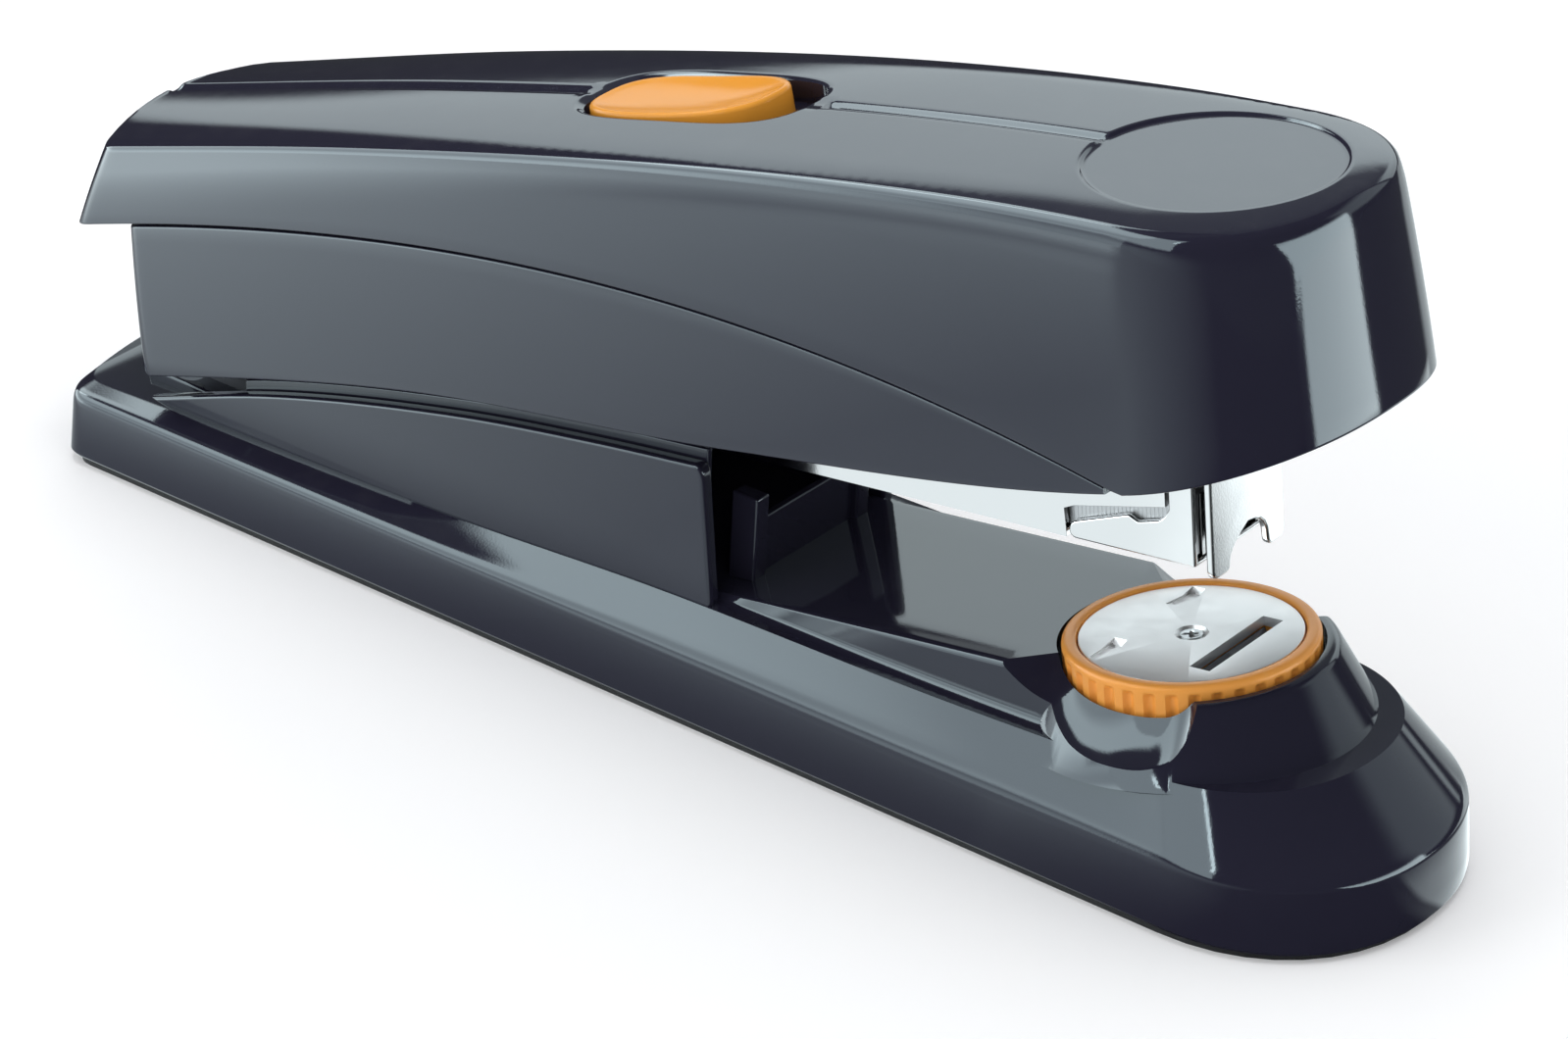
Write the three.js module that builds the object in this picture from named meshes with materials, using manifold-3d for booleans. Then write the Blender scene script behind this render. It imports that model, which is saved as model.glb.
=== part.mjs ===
// Desk stapler of the power, flat-clinch kind. A low base carries a turning anvil wheel at its nose and a
// hinge bracket at its rear. The magazine arm and the big two-part handle both swing on one pivot pin.
// Units are millimetres, +X points to the nose, +Z up, and the stapler is symmetric about the plane y = 0.
// The origin is on the desk, straight under the middle of the anvil.
import * as THREE from "three";
import { mergeVertices } from "three/addons/utils/BufferGeometryUtils.js";
import Module from "manifold-3d";

const wasm = await Module();
wasm.setup();

// ---------- driving dimensions ----------

// base
const baseRear = -154.6; // x of the base's rear end
const baseRearBow = 2.5; // how far the rear end bulges in plan
const baseHalf = 23; // half-width at the foot
const baseCreaseHalf = 22.35; // half-width where the side turns into the chamfer
const baseCreaseHeight = 9.2;
const baseNoseStart = 12.9; // x where the straight sides end
const baseNoseReach = 21.8; // length of the rounded nose
const baseWall = 2.2;
const rearCorner = 3; // size of the base's rounded rear corners
const soleThickness = 1;
const soleInset = 0.8;
const plateThickness = 1.2; // steel bottom plate
const plateInset = 3.2; // from the base's foot to the plate's edge
const bottomScrewHead = 2.8; // radius
const bottomScrewShank = 1.3; // radius
const bottomScrewLength = 7.4;
const bottomScrewPlaces = [
  [-138, baseHalf - 11], [-138, 11 - baseHalf], [2, baseHalf - 9.5], [2, 9.5 - baseHalf]];

// chamfer top, wings and deck
const wingHalf = 18; // outer face of the wings, and top of the chamfer
const wingThickness = 2;
const wingRear = -143;
const wingFront = -56.4; // at the top, the foot stands 2 further on
const wingFrontHeight = 31.9;
const deckHalf = 15.3;
const deckDrop = 0.45; // the deck lies this far below the anvil plate's plane
const deckFront = -8;
const deckHollowFront = -20; // the hollow under the deck stops behind the scoops
const tongueRear = -128; // inner strip that stands above the wing
const tongueRise = 1.4;
const bulkheadX = -54;
const bulkheadTop = 22.2;
const postReach = 11.2;
const postWidth = 2.4;
const postTop = 25.8;

// anvil
const anvilHeight = 23.98; // plate's top at the turning axis
const deckAngle = THREE.MathUtils.degToRad(9.03);
const wheelRadius = 14.75;
const wheelHeight = 4.6;
const wheelLobes = 36;
const lobeDepth = 0.4;
const anvilPlateRadius = 12.83;
const anvilPlateThickness = 1.2;
const plateSeatGap = 0.2;
const slotOffset = 6.1; // from the axis to the middle of the clinching slot
const slotWidth = 2.7;
const slotLength = 15;
const grooveX = -6.1; // middle of the pinning grooves, across from the slot
const grooveInner = 4.8;
const grooveOuter = 11.2;
const grooveWidth = 1.9;
const grooveDepth = 0.6;
const wheelGap = 0.5; // running clearance between wheel and collar
const collarWall = 1.3;
const collarDrop = 1.3; // collar's top edge below the plate
const collarHeight = 9.9;
const collarFootRadius = 20.7;
const scoopRows = [
  [52, 0.6, 0.6], [55, 1, 1.2], [57, 1.4, 2.4], [60, 2, 4.1], [65, 2.5, 5.4], [72, 2.5, 6], [87, 2.3, 5.6],
  [104, 2.3, 5.1], [119, 2.3, 4.7], [126, 2, 3.8], [131, 1.6, 2.4], [136, 1, 0.5]];
const scoopHollow = 0.4; // how far the scoop's surface dips between its edges
const scoopFall = 0.55; // share by which it falls on, outside the collar
const scoopReach = 30;
const clinchTravel = 1;
const pocketRadius = wheelRadius + wheelGap;
const pocketFloor = -anvilPlateThickness - wheelHeight + 0.6;
const clinchHalf = slotWidth / 2 + 0.2; // half-width of the clinch block

// pivot and hinge bracket
const pivotX = -136;
const pivotZ = 21;
const pinRadius = 2;
const pinClearance = 0.12;
const bracketPadTop = 11.5;
const sheet = 1.4; // bracket and arm frame sheet
const earGap = 0.7; // between neighbouring ears on the pin
const pinHalf = 17.7; // half the pin's length
const lugHalf = 18.7; // outer face of the handle's lugs
const lugRadius = 5.6;
const liftSpringX = -96;
const liftSpringRadius = 4;
const liftSpringWire = 0.5;
const handleSpringX = -32;
const handleSpringRadius = 5;
const handleSpringWire = 0.7;

// magazine arm, in its own frame: origin on the pivot, x along the magazine
const armAngle = THREE.MathUtils.degToRad(8); // nose-up at rest
const armReach = 0.8 - pivotX; // pivot to the anvil axis, along the magazine
const channelDrop = 3.7; // channel's underside below the pivot
const channelHalf = 7.2;
const channelWall = 0.7;
const channelHeight = 12;
const channelRear = 12.8 - armReach; // clear of the pivot's pin
const frameGap = 0.3;
const frameTop = 18.2;
const frameFoot = 9.6;
const frameFront = -4.8;
const frameHalf = channelHalf + frameGap + sheet; // outer face of the arm frame
const bracketInner = frameHalf + earGap;
const bracketHalf = bracketInner + sheet;
const lugInner = bracketHalf + earGap;

// staples, rail and drawer
const wire = 0.55;
const stapleHalf = 6.35;
const stapleLeg = 7.4;
const slideGap = 0.15;
const railRear = -82;
const railTail = 8; // flat tail behind the rail, under the latch
const railFoot = channelWall + 0.3;
const railTop = railFoot + stapleLeg;
const railHalf = stapleHalf - wire - slideGap;
const railWall = 0.6;
const stripRear = -45;
const headFront = 4.2;
const driverPlane = 5.05; // middle of the driver blade, from the anvil axis
const bladeThickness = 0.6;
const bladeHalf = 6.1;
const bladeFoot = railTop + wire + 0.8;
const bladeRear = driverPlane - bladeThickness / 2;
const carrierFoot = 22.4;
const carrierTop = 32;
const frontPlateThickness = 1;
const frontPlateTop = 18;
const legDrop = 1.1;
const followerLength = 8;
const neckHalf = 1.1; // half-width of the follower's neck in the rail's slot
const rodHeight = 4.4;
const rodRadius = 0.9;
const rodFront = -8; // where the follower's rod ends
const rivetPlaces = [-100, -30];
const rivetRadius = 1;
const rivetZ = 10.8;

// drawer latch
const latchX = -76;
const latchZ = 13.5;
const latchPinRadius = 1.2;
const latchTop = 27.5;
const latchReserve = 3.5; // the slider's tail stands this far behind the latch

// handle casing
const casingWall = 2;
const casingRear = -153.2;
const casingLean = 14; // degrees that the rear end leans back
const rearBow = 3; // how far the rear end bulges in plan
const skirtInset = 0.45; // the lower shell is set in from the cover
const skirtRear = -150.3;
const skirtLean = 10; // degrees that the lower shell's rear end leans forward going down
const partingGap = 0.35;
const creaseNoseStart = -3.4;
const creaseNoseReach = 19.4;
const rimNoseStart = 4.7;
const rimNoseReach = 18;
const nosePower = 2.3;
const padX = -2.5;
const padRadius = 14.5;
const padDepth = 0.7;
const edgeRound = 1.4;

// release button
const buttonX = -74.4;
const buttonHalfLength = 13.3;
const buttonHalfWidth = 7.8;
const buttonPower = 3.2; // how square the button's plan is
const buttonTravel = 4.5;
const buttonGap = 0.6;
const buttonSideGap = 1;
const wellDepth = 4;
const wellFlare = 2.6; // reach and depth of the shallow slope round the well
const wellFlareDepth = 0.75;
const seamHalf = 1.3; // centre groove of the roof
const seamDepth = 0.6;

// ---------- helpers ----------

const materials = {
  shell: new THREE.MeshStandardMaterial({ color: 0x2a2e38, roughness: 0.2, metalness: 0 }),
  darkPart: new THREE.MeshStandardMaterial({ color: 0x1c1e24, roughness: 0.5, metalness: 0 }),
  orange: new THREE.MeshStandardMaterial({ color: 0xe8912a, roughness: 0.35, metalness: 0 }),
  chrome: new THREE.MeshStandardMaterial({ color: 0xe2e4e6, roughness: 0.15, metalness: 1 }),
  steel: new THREE.MeshStandardMaterial({ color: 0xa9adb2, roughness: 0.35, metalness: 1 }),
  rubber: new THREE.MeshStandardMaterial({ color: 0x17181a, roughness: 0.9, metalness: 0 }),
};

function solid(geometry) {
  const bare = geometry.clone();
  bare.deleteAttribute("normal");
  bare.deleteAttribute("uv");
  const merged = mergeVertices(bare, 1e-4);
  return new wasm.Manifold(new wasm.Mesh({
    numProp: 3,
    vertProperties: new Float32Array(merged.attributes.position.array),
    triVerts: new Uint32Array(merged.index.array),
  }));
}

function addPart(parent, name, body, material) {
  const mesh = body.getMesh();
  const geometry = new THREE.BufferGeometry();
  geometry.setAttribute("position", new THREE.BufferAttribute(mesh.vertProperties, 3));
  geometry.setIndex(new THREE.BufferAttribute(mesh.triVerts, 1));
  geometry.computeVertexNormals();
  const part = new THREE.Mesh(geometry, material);
  part.name = name;
  parent.add(part);
  return part;
}

function outline(points) {
  return new THREE.Shape(points.map(([u, v]) => new THREE.Vector2(u, v)));
}

// prism of an x, y outline between two heights
function prismZ(shape, low, high, segments = 16) {
  const options = { depth: high - low, bevelEnabled: false, curveSegments: segments };
  return solid(new THREE.ExtrudeGeometry(shape, options).translate(0, 0, low));
}

// prism of an x, z outline across the width, from y = low to y = high
function prismY(shape, low, high, segments = 16) {
  const options = { depth: high - low, bevelEnabled: false, curveSegments: segments };
  return solid(new THREE.ExtrudeGeometry(shape, options).rotateX(Math.PI / 2).translate(0, high, 0));
}

// prism of a y, z outline along the length, from x = low to x = high
function prismX(shape, low, high, segments = 16) {
  const options = { depth: high - low, bevelEnabled: false, curveSegments: segments };
  const turn = new THREE.Matrix4().makeBasis(
    new THREE.Vector3(0, 1, 0), new THREE.Vector3(0, 0, 1), new THREE.Vector3(1, 0, 0));
  return solid(new THREE.ExtrudeGeometry(shape, options).applyMatrix4(turn).translate(low, 0, 0));
}

function box(xLow, xHigh, yLow, yHigh, zLow, zHigh) {
  const geometry = new THREE.BoxGeometry(xHigh - xLow, yHigh - yLow, zHigh - zLow);
  return solid(geometry.translate((xLow + xHigh) / 2, (yLow + yHigh) / 2, (zLow + zHigh) / 2));
}

// closed profile of [radius, height] pairs turned about the z axis
function turned(profile, segments = 32) {
  const points = profile.map(([radius, height]) => new THREE.Vector2(radius, height));
  return solid(new THREE.LatheGeometry(points, segments).rotateX(Math.PI / 2));
}

function rodY(x, z, radius, low, high, segments = 24) {
  const geometry = new THREE.CylinderGeometry(radius, radius, high - low, segments);
  return solid(geometry.translate(x, (low + high) / 2, z));
}

function rodZ(x, y, radius, low, high, segments = 24) {
  const geometry = new THREE.CylinderGeometry(radius, radius, high - low, segments);
  return solid(geometry.rotateX(Math.PI / 2).translate(x, y, (low + high) / 2));
}

function rodX(z, radius, low, high, segments = 16) {
  const geometry = new THREE.CylinderGeometry(radius, radius, high - low, segments);
  return solid(geometry.rotateZ(Math.PI / 2).translate((low + high) / 2, 0, z));
}

function bothSides(body) {
  return body.add(body.mirror([0, 1, 0]));
}

function tilted(body, angle) {
  return body.rotate([0, -THREE.MathUtils.radToDeg(angle), 0]);
}

// smooth curve through [x, value] pairs
function through(pairs) {
  const xs = pairs.map((pair) => pair[0]);
  const values = pairs.map((pair) => pair[1]);
  const curve = new THREE.CubicInterpolant(xs, values, 1);
  return (x) => curve.evaluate(x)[0];
}

// Skin over a row of mirrored rings with equally many points. Each end is closed by rungs from a point
// to its mirror image.
function loft(rings) {
  const count = rings[0].length;
  const index = [];
  for (let ring = 0; ring + 1 < rings.length; ring += 1) {
    for (let i = 0; i < count; i += 1) {
      const a = ring * count + i;
      const b = ring * count + (i + 1) % count;
      index.push(a, b, b + count, a, b + count, a + count);
    }
  }
  const last = (rings.length - 1) * count;
  for (let i = 0; i + 1 < count / 2; i += 1) {
    const mirror = count - 1 - i;
    index.push(last + i, last + i + 1, last + mirror - 1, last + i, last + mirror - 1, last + mirror);
    index.push(i + 1, i, mirror, i + 1, mirror, mirror - 1);
  }
  const geometry = new THREE.BufferGeometry().setFromPoints(rings.flat());
  geometry.setIndex(index);
  const body = solid(geometry);
  return body.volume() > 0 ? body : solid(flipped(geometry));
}

// skin over a row of closed sections whose ends are convex
function skin(sections) {
  const count = sections[0].length;
  const index = [];
  for (let row = 0; row + 1 < sections.length; row += 1) {
    for (let i = 0; i < count; i += 1) {
      const a = row * count + i;
      const b = row * count + (i + 1) % count;
      index.push(a, b, b + count, a, b + count, a + count);
    }
  }
  const last = (sections.length - 1) * count;
  for (let i = 1; i + 1 < count; i += 1) index.push(i + 1, i, 0, last, last + i, last + i + 1);
  const geometry = new THREE.BufferGeometry().setFromPoints(sections.flat());
  geometry.setIndex(index);
  const body = solid(geometry);
  return body.volume() > 0 ? body : solid(flipped(geometry));
}

function flipped(geometry) {
  const index = geometry.index.array;
  const turnedIndex = [];
  for (let i = 0; i < index.length; i += 3) turnedIndex.push(index[i], index[i + 2], index[i + 1]);
  geometry.setIndex(turnedIndex);
  return geometry;
}

// One long edge of the base or casing, seen from above: straight from its rear to noseStart, then a
// superellipse. Stations up to 1 run along the straight, stations from 1 to 2 round the nose.
function edgePoint(edge, station) {
  if (station <= 1) {
    const x = THREE.MathUtils.lerp(edge.rear, edge.noseStart, station);
    return new THREE.Vector3(x, edge.half(x), edge.height(x));
  }
  const angle = (2 - station) * Math.PI / 2;
  const x = edge.noseStart + edge.noseReach * Math.cos(angle) ** (2 / edge.power);
  const y = edge.half(edge.noseStart) * Math.sin(angle) ** (2 / edge.power);
  return new THREE.Vector3(x, y, edge.height(x));
}

function stations(straight, nose) {
  const list = [];
  for (let i = 0; i < straight; i += 1) list.push(i / straight);
  for (let i = 0; i < nose; i += 1) list.push(1 + i / nose);
  list.push(1.992);
  return list;
}

function mirroredRing(halfRing) {
  const other = halfRing.map((point) => new THREE.Vector3(point.x, -point.y, point.z)).reverse();
  return [...halfRing, ...other];
}

// helical wire spring standing on the z axis
function coil(radius, wireRadius, low, high, turns) {
  class Helix extends THREE.Curve {
    getPoint(t, target = new THREE.Vector3()) {
      const angle = 2 * Math.PI * turns * t;
      const z = THREE.MathUtils.lerp(low + wireRadius, high - wireRadius, t);
      return target.set(radius * Math.cos(angle), radius * Math.sin(angle), z);
    }
  }
  const section = new THREE.Shape().absarc(0, 0, wireRadius, 0, 2 * Math.PI, false);
  const options = { steps: Math.round(turns * 10), curveSegments: 2, extrudePath: new Helix() };
  return solid(new THREE.ExtrudeGeometry(section, options));
}

const stapler = new THREE.Group();

// ---------- base ----------

const deckSlope = Math.tan(deckAngle);
const deckTop = (x) => anvilHeight - deckDrop + deckSlope * x;
const bandTop = through([
  [-152, 9.9], [-125, 10.6], [-94, 11.6], [-62, 13.7], [-22, 14.9], [2, 16.2], [26, 17.8]]);

function baseEdge(half, height, noseInset, endInset = 0) {
  return {
    rear: baseRear + endInset,
    noseStart: baseNoseStart - noseInset * 0.55,
    noseReach: baseNoseReach - noseInset * 0.45,
    power: 2.14,
    half: () => half,
    height,
  };
}

function trayRing(station, inset) {
  const footHeight = inset > 0 ? -2 : soleThickness;
  const foot = baseEdge(baseHalf - inset, () => footHeight, inset);
  const crease = baseEdge(baseCreaseHalf - inset, () => baseCreaseHeight, inset + 0.8);
  const top = baseEdge(wingHalf + 0.2 - inset * 0.9, (x) => bandTop(x) - inset, inset + 9.4);
  return mirroredRing([foot, crease, top].map((edge) => edgePoint(edge, station)));
}

// plan outline of the base, drawn in by an inset
function basePlan(inset) {
  const shape = new THREE.Shape();
  const half = baseHalf - inset;
  const rear = baseRear + inset;
  const side = rear + baseRearBow;
  shape.moveTo(side + rearCorner, -half);
  for (const station of stations(1, 10).slice(1)) {
    const point = edgePoint(baseEdge(half, () => 0, inset), station);
    shape.lineTo(point.x, -point.y);
  }
  for (const station of stations(1, 10).slice(1).reverse()) {
    const point = edgePoint(baseEdge(half, () => 0, inset), station);
    shape.lineTo(point.x, point.y);
  }
  shape.lineTo(side + rearCorner, half);
  shape.quadraticCurveTo(side + 0.4, half, side, half - rearCorner);
  shape.quadraticCurveTo(rear - baseRearBow, 0, side, -half + rearCorner);
  shape.quadraticCurveTo(side + 0.4, -half, side + rearCorner, -half);
  return shape;
}

function deckSolid(inset) {
  const rings = [];
  for (const x of [-80, -65, -50, -35, inset > 0 ? deckHollowFront : deckFront]) {
    const half = deckHalf - inset;
    rings.push(mirroredRing([
      new THREE.Vector3(x, wingHalf - inset, bandTop(x) - 2.5 - inset),
      new THREE.Vector3(x, wingHalf - inset, bandTop(x) - inset - 0.2),
      new THREE.Vector3(x, half, Math.max(deckTop(x), bandTop(x) - 2) - inset),
    ]));
  }
  return loft(rings);
}

function wing() {
  const top = through([
    [wingRear, 9.8], [-122.5, 17.4], [-94, 25.1], [-73, 29.2], [wingFront, wingFrontHeight]]);
  const shape = new THREE.Shape();
  shape.moveTo(wingRear, 8.6);
  for (let i = 0; i <= 12; i += 1) {
    const x = THREE.MathUtils.lerp(wingRear, wingFront - 1.4, i / 12);
    shape.lineTo(x, top(x));
  }
  shape.quadraticCurveTo(wingFront, wingFrontHeight, wingFront + 0.1, wingFrontHeight - 1.8);
  shape.lineTo(wingFront + 2, 14.5);
  shape.lineTo(wingFront + 2, 11);
  const inner = new THREE.Shape();
  inner.moveTo(tongueRear, 10);
  for (let i = 0; i <= 8; i += 1) {
    const x = THREE.MathUtils.lerp(tongueRear, wingFront - 0.6, i / 8);
    inner.lineTo(x, top(x) + tongueRise);
  }
  inner.lineTo(wingFront, 11);
  const inside = wingHalf - wingThickness;
  const tongue = prismY(inner, inside - 0.8, inside + 0.1, 4);
  return prismY(shape, inside, wingHalf, 4).add(tongue);
}

// low wall across the throat between two posts
function bulkhead() {
  const foot = bandTop(bulkheadX) - 1;
  const wall = box(bulkheadX - 1, bulkheadX, -postReach, postReach, foot, bulkheadTop);
  const post = box(bulkheadX - 3, bulkheadX + 0.8, postReach - postWidth, postReach, foot, postTop);
  return wall.add(bothSides(post));
}

function anvilPlace(body) {
  return tilted(body, deckAngle).translate([0, 0, anvilHeight]);
}

// raised collar round the wheel
function anvilCollar() {
  const wallTop = pocketRadius + collarWall;
  return turned([
    [0, -collarHeight], [collarFootRadius, -collarHeight], [wallTop, -collarDrop], [0, -collarDrop]], 72);
}

// Cutter of the finger scoop beside the wheel. Each row gives the angle from the nose in degrees, and how
// far the scoop lies below the plate at the wheel and at the collar's outside.
function fingerScoop() {
  const inner = pocketRadius - 0.4;
  const outer = collarFootRadius - 1.8;
  const sections = scoopRows.map(([degrees, innerDrop, outerDrop]) => {
    const angle = THREE.MathUtils.degToRad(degrees);
    const section = [
      [inner, -innerDrop], [(inner + outer) / 2, -(innerDrop + outerDrop) / 2 - scoopHollow],
      [outer, -outerDrop], [scoopReach, -outerDrop * (1 + scoopFall)], [scoopReach, 5], [inner, 5]];
    return section.map(([radius, height]) =>
      new THREE.Vector3(radius * Math.cos(angle), radius * Math.sin(angle), height));
  });
  return skin(sections);
}

function baseShell() {
  const ringsOut = stations(10, 12).map((station) => trayRing(station, 0));
  const ringsIn = stations(10, 12).map((station) => trayRing(station, baseWall));
  const planCut = prismZ(basePlan(0), -5, 60, 6);
  const innerCut = prismZ(basePlan(baseWall), -5, 60, 6);
  let body = loft(ringsOut);
  body = body.add(deckSolid(0));
  body = body.add(anvilPlace(anvilCollar()));
  body = body.add(box(-146, -118, -14, 14, 8, bracketPadTop));
  let hollow = loft(ringsIn).add(deckSolid(baseWall));
  hollow = hollow.intersect(innerCut);
  const outer = body.intersect(planCut).subtract(anvilPlace(bothSides(fingerScoop())));
  body = outer.subtract(hollow);
  for (const [x, y] of bottomScrewPlaces) {
    body = body.add(rodZ(x, y, 3.4, soleThickness + plateThickness, 30, 20).intersect(outer));
  }
  body = body.add(anvilPlace(rodZ(0, 0, 5, -10.4, -6, 24)));
  body = body.add(bothSides(wing())).add(bulkhead());
  body = body.subtract(anvilPlace(rodZ(0, 0, pocketRadius, pocketFloor, 8, 64)));
  body = body.subtract(anvilPlace(rodZ(0, 0, 1.9, -20, 0, 24)));
  for (const [x, y] of bottomScrewPlaces) {
    body = body.subtract(rodZ(x, y, bottomScrewShank + 0.1, -1, 8.8, 16));
  }
  return body;
}

addPart(stapler, "base_shell", baseShell(), materials.shell);

function bottomPlate() {
  let plate = prismZ(basePlan(plateInset), soleThickness, soleThickness + plateThickness, 6);
  for (const [x, y] of bottomScrewPlaces) {
    const hole = turned([
      [0, -0.1], [bottomScrewHead + 0.2, -0.1], [bottomScrewShank + 0.15, plateThickness + 0.1],
      [0, plateThickness + 0.1]], 20);
    plate = plate.subtract(hole.translate([x, y, soleThickness]));
  }
  return plate;
}

addPart(stapler, "bottom_plate", bottomPlate(), materials.steel);
addPart(stapler, "rubber_sole", prismZ(basePlan(soleInset), 0, soleThickness, 6), materials.rubber);

bottomScrewPlaces.forEach(([x, y], i) => {
  const screw = turned([
    [0, 0.05], [bottomScrewHead, 0.05], [bottomScrewShank, plateThickness],
    [bottomScrewShank, bottomScrewLength], [0, bottomScrewLength]], 20);
  addPart(stapler, `bottom_screw_${i + 1}`, screw.translate([x, y, soleThickness]), materials.steel);
});

// ---------- hinge bracket and pivot ----------

function hingeBracket() {
  const ear = new THREE.Shape();
  ear.moveTo(pivotX - 3, bracketPadTop);
  ear.lineTo(pivotX + 12, bracketPadTop);
  ear.lineTo(pivotX + 5, pivotZ + 2.2);
  ear.absarc(pivotX, pivotZ, 4.8, 0.4, Math.PI, false);
  let bracket = bothSides(prismY(ear, bracketInner, bracketHalf, 8));
  bracket = bracket.add(
    box(pivotX - 5, pivotX + 12, -bracketHalf, bracketHalf, bracketPadTop, bracketPadTop + sheet));
  bracket = bracket.subtract(rodY(pivotX, pivotZ, pinRadius + pinClearance, -30, 30));
  for (const x of [pivotX - 1, pivotX + 7]) {
    bracket = bracket.subtract(rodZ(x, 0, 1.6, bracketPadTop - 1, bracketPadTop + 3, 16));
  }
  return bracket;
}

addPart(stapler, "hinge_bracket", hingeBracket(), materials.steel);

[pivotX - 1, pivotX + 7].forEach((x, i) => {
  const head = turned([[0, 0.05], [2.7, 0.05], [2.2, 1.3], [0, 1.6]], 20)
    .translate([x, 0, bracketPadTop + sheet]);
  addPart(stapler, `bracket_screw_${i + 1}`, head, materials.steel);
});
addPart(stapler, "pivot_pin", rodY(pivotX, pivotZ, pinRadius, -pinHalf, pinHalf), materials.steel);

const liftSpringFoot = bandTop(liftSpringX) + 0.4;
const liftSpringTop = pivotZ + (liftSpringX - pivotX) * Math.tan(armAngle)
  - channelDrop / Math.cos(armAngle) - 0.8;
const liftSpring = coil(liftSpringRadius, liftSpringWire, liftSpringFoot, liftSpringTop, 5);
addPart(stapler, "arm_lift_spring", liftSpring.translate([liftSpringX, 0, 0]), materials.steel);

// ---------- anvil wheel ----------

const anvil = new THREE.Group();
anvil.position.set(0, 0, anvilHeight);
anvil.rotation.y = -deckAngle;
stapler.add(anvil);

function anvilWheel() {
  const rim = [];
  const steps = wheelLobes * 6;
  for (let i = 0; i < steps; i += 1) {
    const angle = 2 * Math.PI * i / steps;
    const wave = Math.max(0, -Math.cos(wheelLobes * angle));
    const radius = wheelRadius - lobeDepth * wave;
    rim.push([radius * Math.cos(angle), radius * Math.sin(angle)]);
  }
  const lobed = prismZ(outline(rim), pocketFloor + 0.4, 0.25);
  const cap = turned([
    [0, -20], [wheelRadius + 1, -20], [wheelRadius + 1, -0.75], [wheelRadius - 0.1, -0.05],
    [wheelRadius - 0.6, 0.2], [0, 0.2]], 72);
  let wheel = lobed.intersect(cap);
  wheel = wheel.subtract(rodZ(0, 0, anvilPlateRadius + plateSeatGap, -anvilPlateThickness, 3, 64));
  const windowHalf = slotWidth / 2 + 0.6;
  const window = box(
    slotOffset - windowHalf, slotOffset + windowHalf, -slotLength / 2 - 0.5, slotLength / 2 + 0.5, -20, 3);
  wheel = wheel.subtract(window);
  return wheel.subtract(rodZ(0, 0, 1.75, -20, 3, 20));
}

// groove that turns a staple's leg outwards for pinning: wide at its inner end, pointed at its outer end
function pinningGroove() {
  const middle = (grooveInner + grooveOuter) / 2;
  const groove = new THREE.Shape();
  groove.moveTo(grooveX - grooveWidth / 2, grooveInner);
  groove.lineTo(grooveX + grooveWidth / 2, grooveInner);
  groove.quadraticCurveTo(grooveX + grooveWidth / 2 - 0.2, middle, grooveX - 0.1, grooveOuter);
  groove.quadraticCurveTo(grooveX - grooveWidth / 2 + 0.2, middle, grooveX - grooveWidth / 2, grooveInner);
  return prismZ(groove, -grooveDepth, 1, 6);
}

function anvilPlate() {
  let plate = rodZ(0, 0, anvilPlateRadius, -anvilPlateThickness, 0, 64);
  plate = plate.subtract(box(
    slotOffset - slotWidth / 2, slotOffset + slotWidth / 2, -slotLength / 2, slotLength / 2, -3, 1));
  plate = plate.subtract(bothSides(pinningGroove()));
  const sink = turned([[0, -3], [1.35, -3], [1.35, -0.75], [1.8, 0.1], [0, 0.1]], 24);
  return plate.subtract(sink);
}

addPart(anvil, "anvil_wheel", anvilWheel(), materials.orange);
addPart(anvil, "anvil_plate", anvilPlate(), materials.chrome);
addPart(anvil, "anvil_screw", turned([
  [0, -12.2], [1.2, -12.2], [1.2, -0.8], [1.65, -0.1], [0, -0.1]], 24), materials.steel);
addPart(anvil, "anvil_retainer", turned([
  [1.35, -11.4], [4, -11.4], [4, -10.8], [1.35, -10.8], [1.35, -11.4]], 24), materials.steel);
addPart(anvil, "clinch_block", box(
  slotOffset - clinchHalf, slotOffset + clinchHalf, -slotLength / 2, slotLength / 2,
  pocketFloor + 0.6, -anvilPlateThickness - clinchTravel - 0.3), materials.steel);

// ---------- magazine arm ----------

const arm = new THREE.Group();
arm.position.set(pivotX, 0, pivotZ);
arm.rotation.y = -armAngle;
stapler.add(arm);
// the magazine's own frame: x from the anvil axis, z up from the channel's underside
const magazine = new THREE.Group();
magazine.position.set(armReach, 0, -channelDrop);
arm.add(magazine);

function armFrame() {
  const side = new THREE.Shape();
  side.moveTo(frameFront, frameFoot);
  side.lineTo(frameFront, frameTop);
  side.lineTo(-armReach + 20, frameTop);
  side.lineTo(-armReach - 3, channelDrop + 4.6);
  side.absarc(-armReach, channelDrop, 5.4, 2.2, 5.4, false);
  side.lineTo(-armReach + 26, frameFoot);
  let frame = bothSides(prismY(side, frameHalf - sheet, frameHalf, 10));
  frame = frame.add(box(
    -armReach + 20, frameFront, -frameHalf, frameHalf, frameTop - sheet, frameTop));
  frame = frame.subtract(rodY(-armReach, channelDrop, pinRadius + pinClearance, -30, 30));
  frame = frame.subtract(box(latchX - 3, latchX + 9, -3.6, 3.6, frameTop - 4, frameTop + 3));
  frame = frame.subtract(rodY(latchX, latchZ, latchPinRadius + 0.1, -30, 30));
  for (const x of rivetPlaces) frame = frame.subtract(rodY(x, rivetZ, rivetRadius + 0.12, -30, 30));
  return frame;
}

function uSection(half, thickness, low, high, xLow, xHigh) {
  const inner = half - thickness;
  const outer = box(xLow, xHigh, -half, half, low, high);
  return outer.subtract(box(xLow - 1, xHigh + 1, -inner, inner, low + thickness, high + 1));
}

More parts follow.
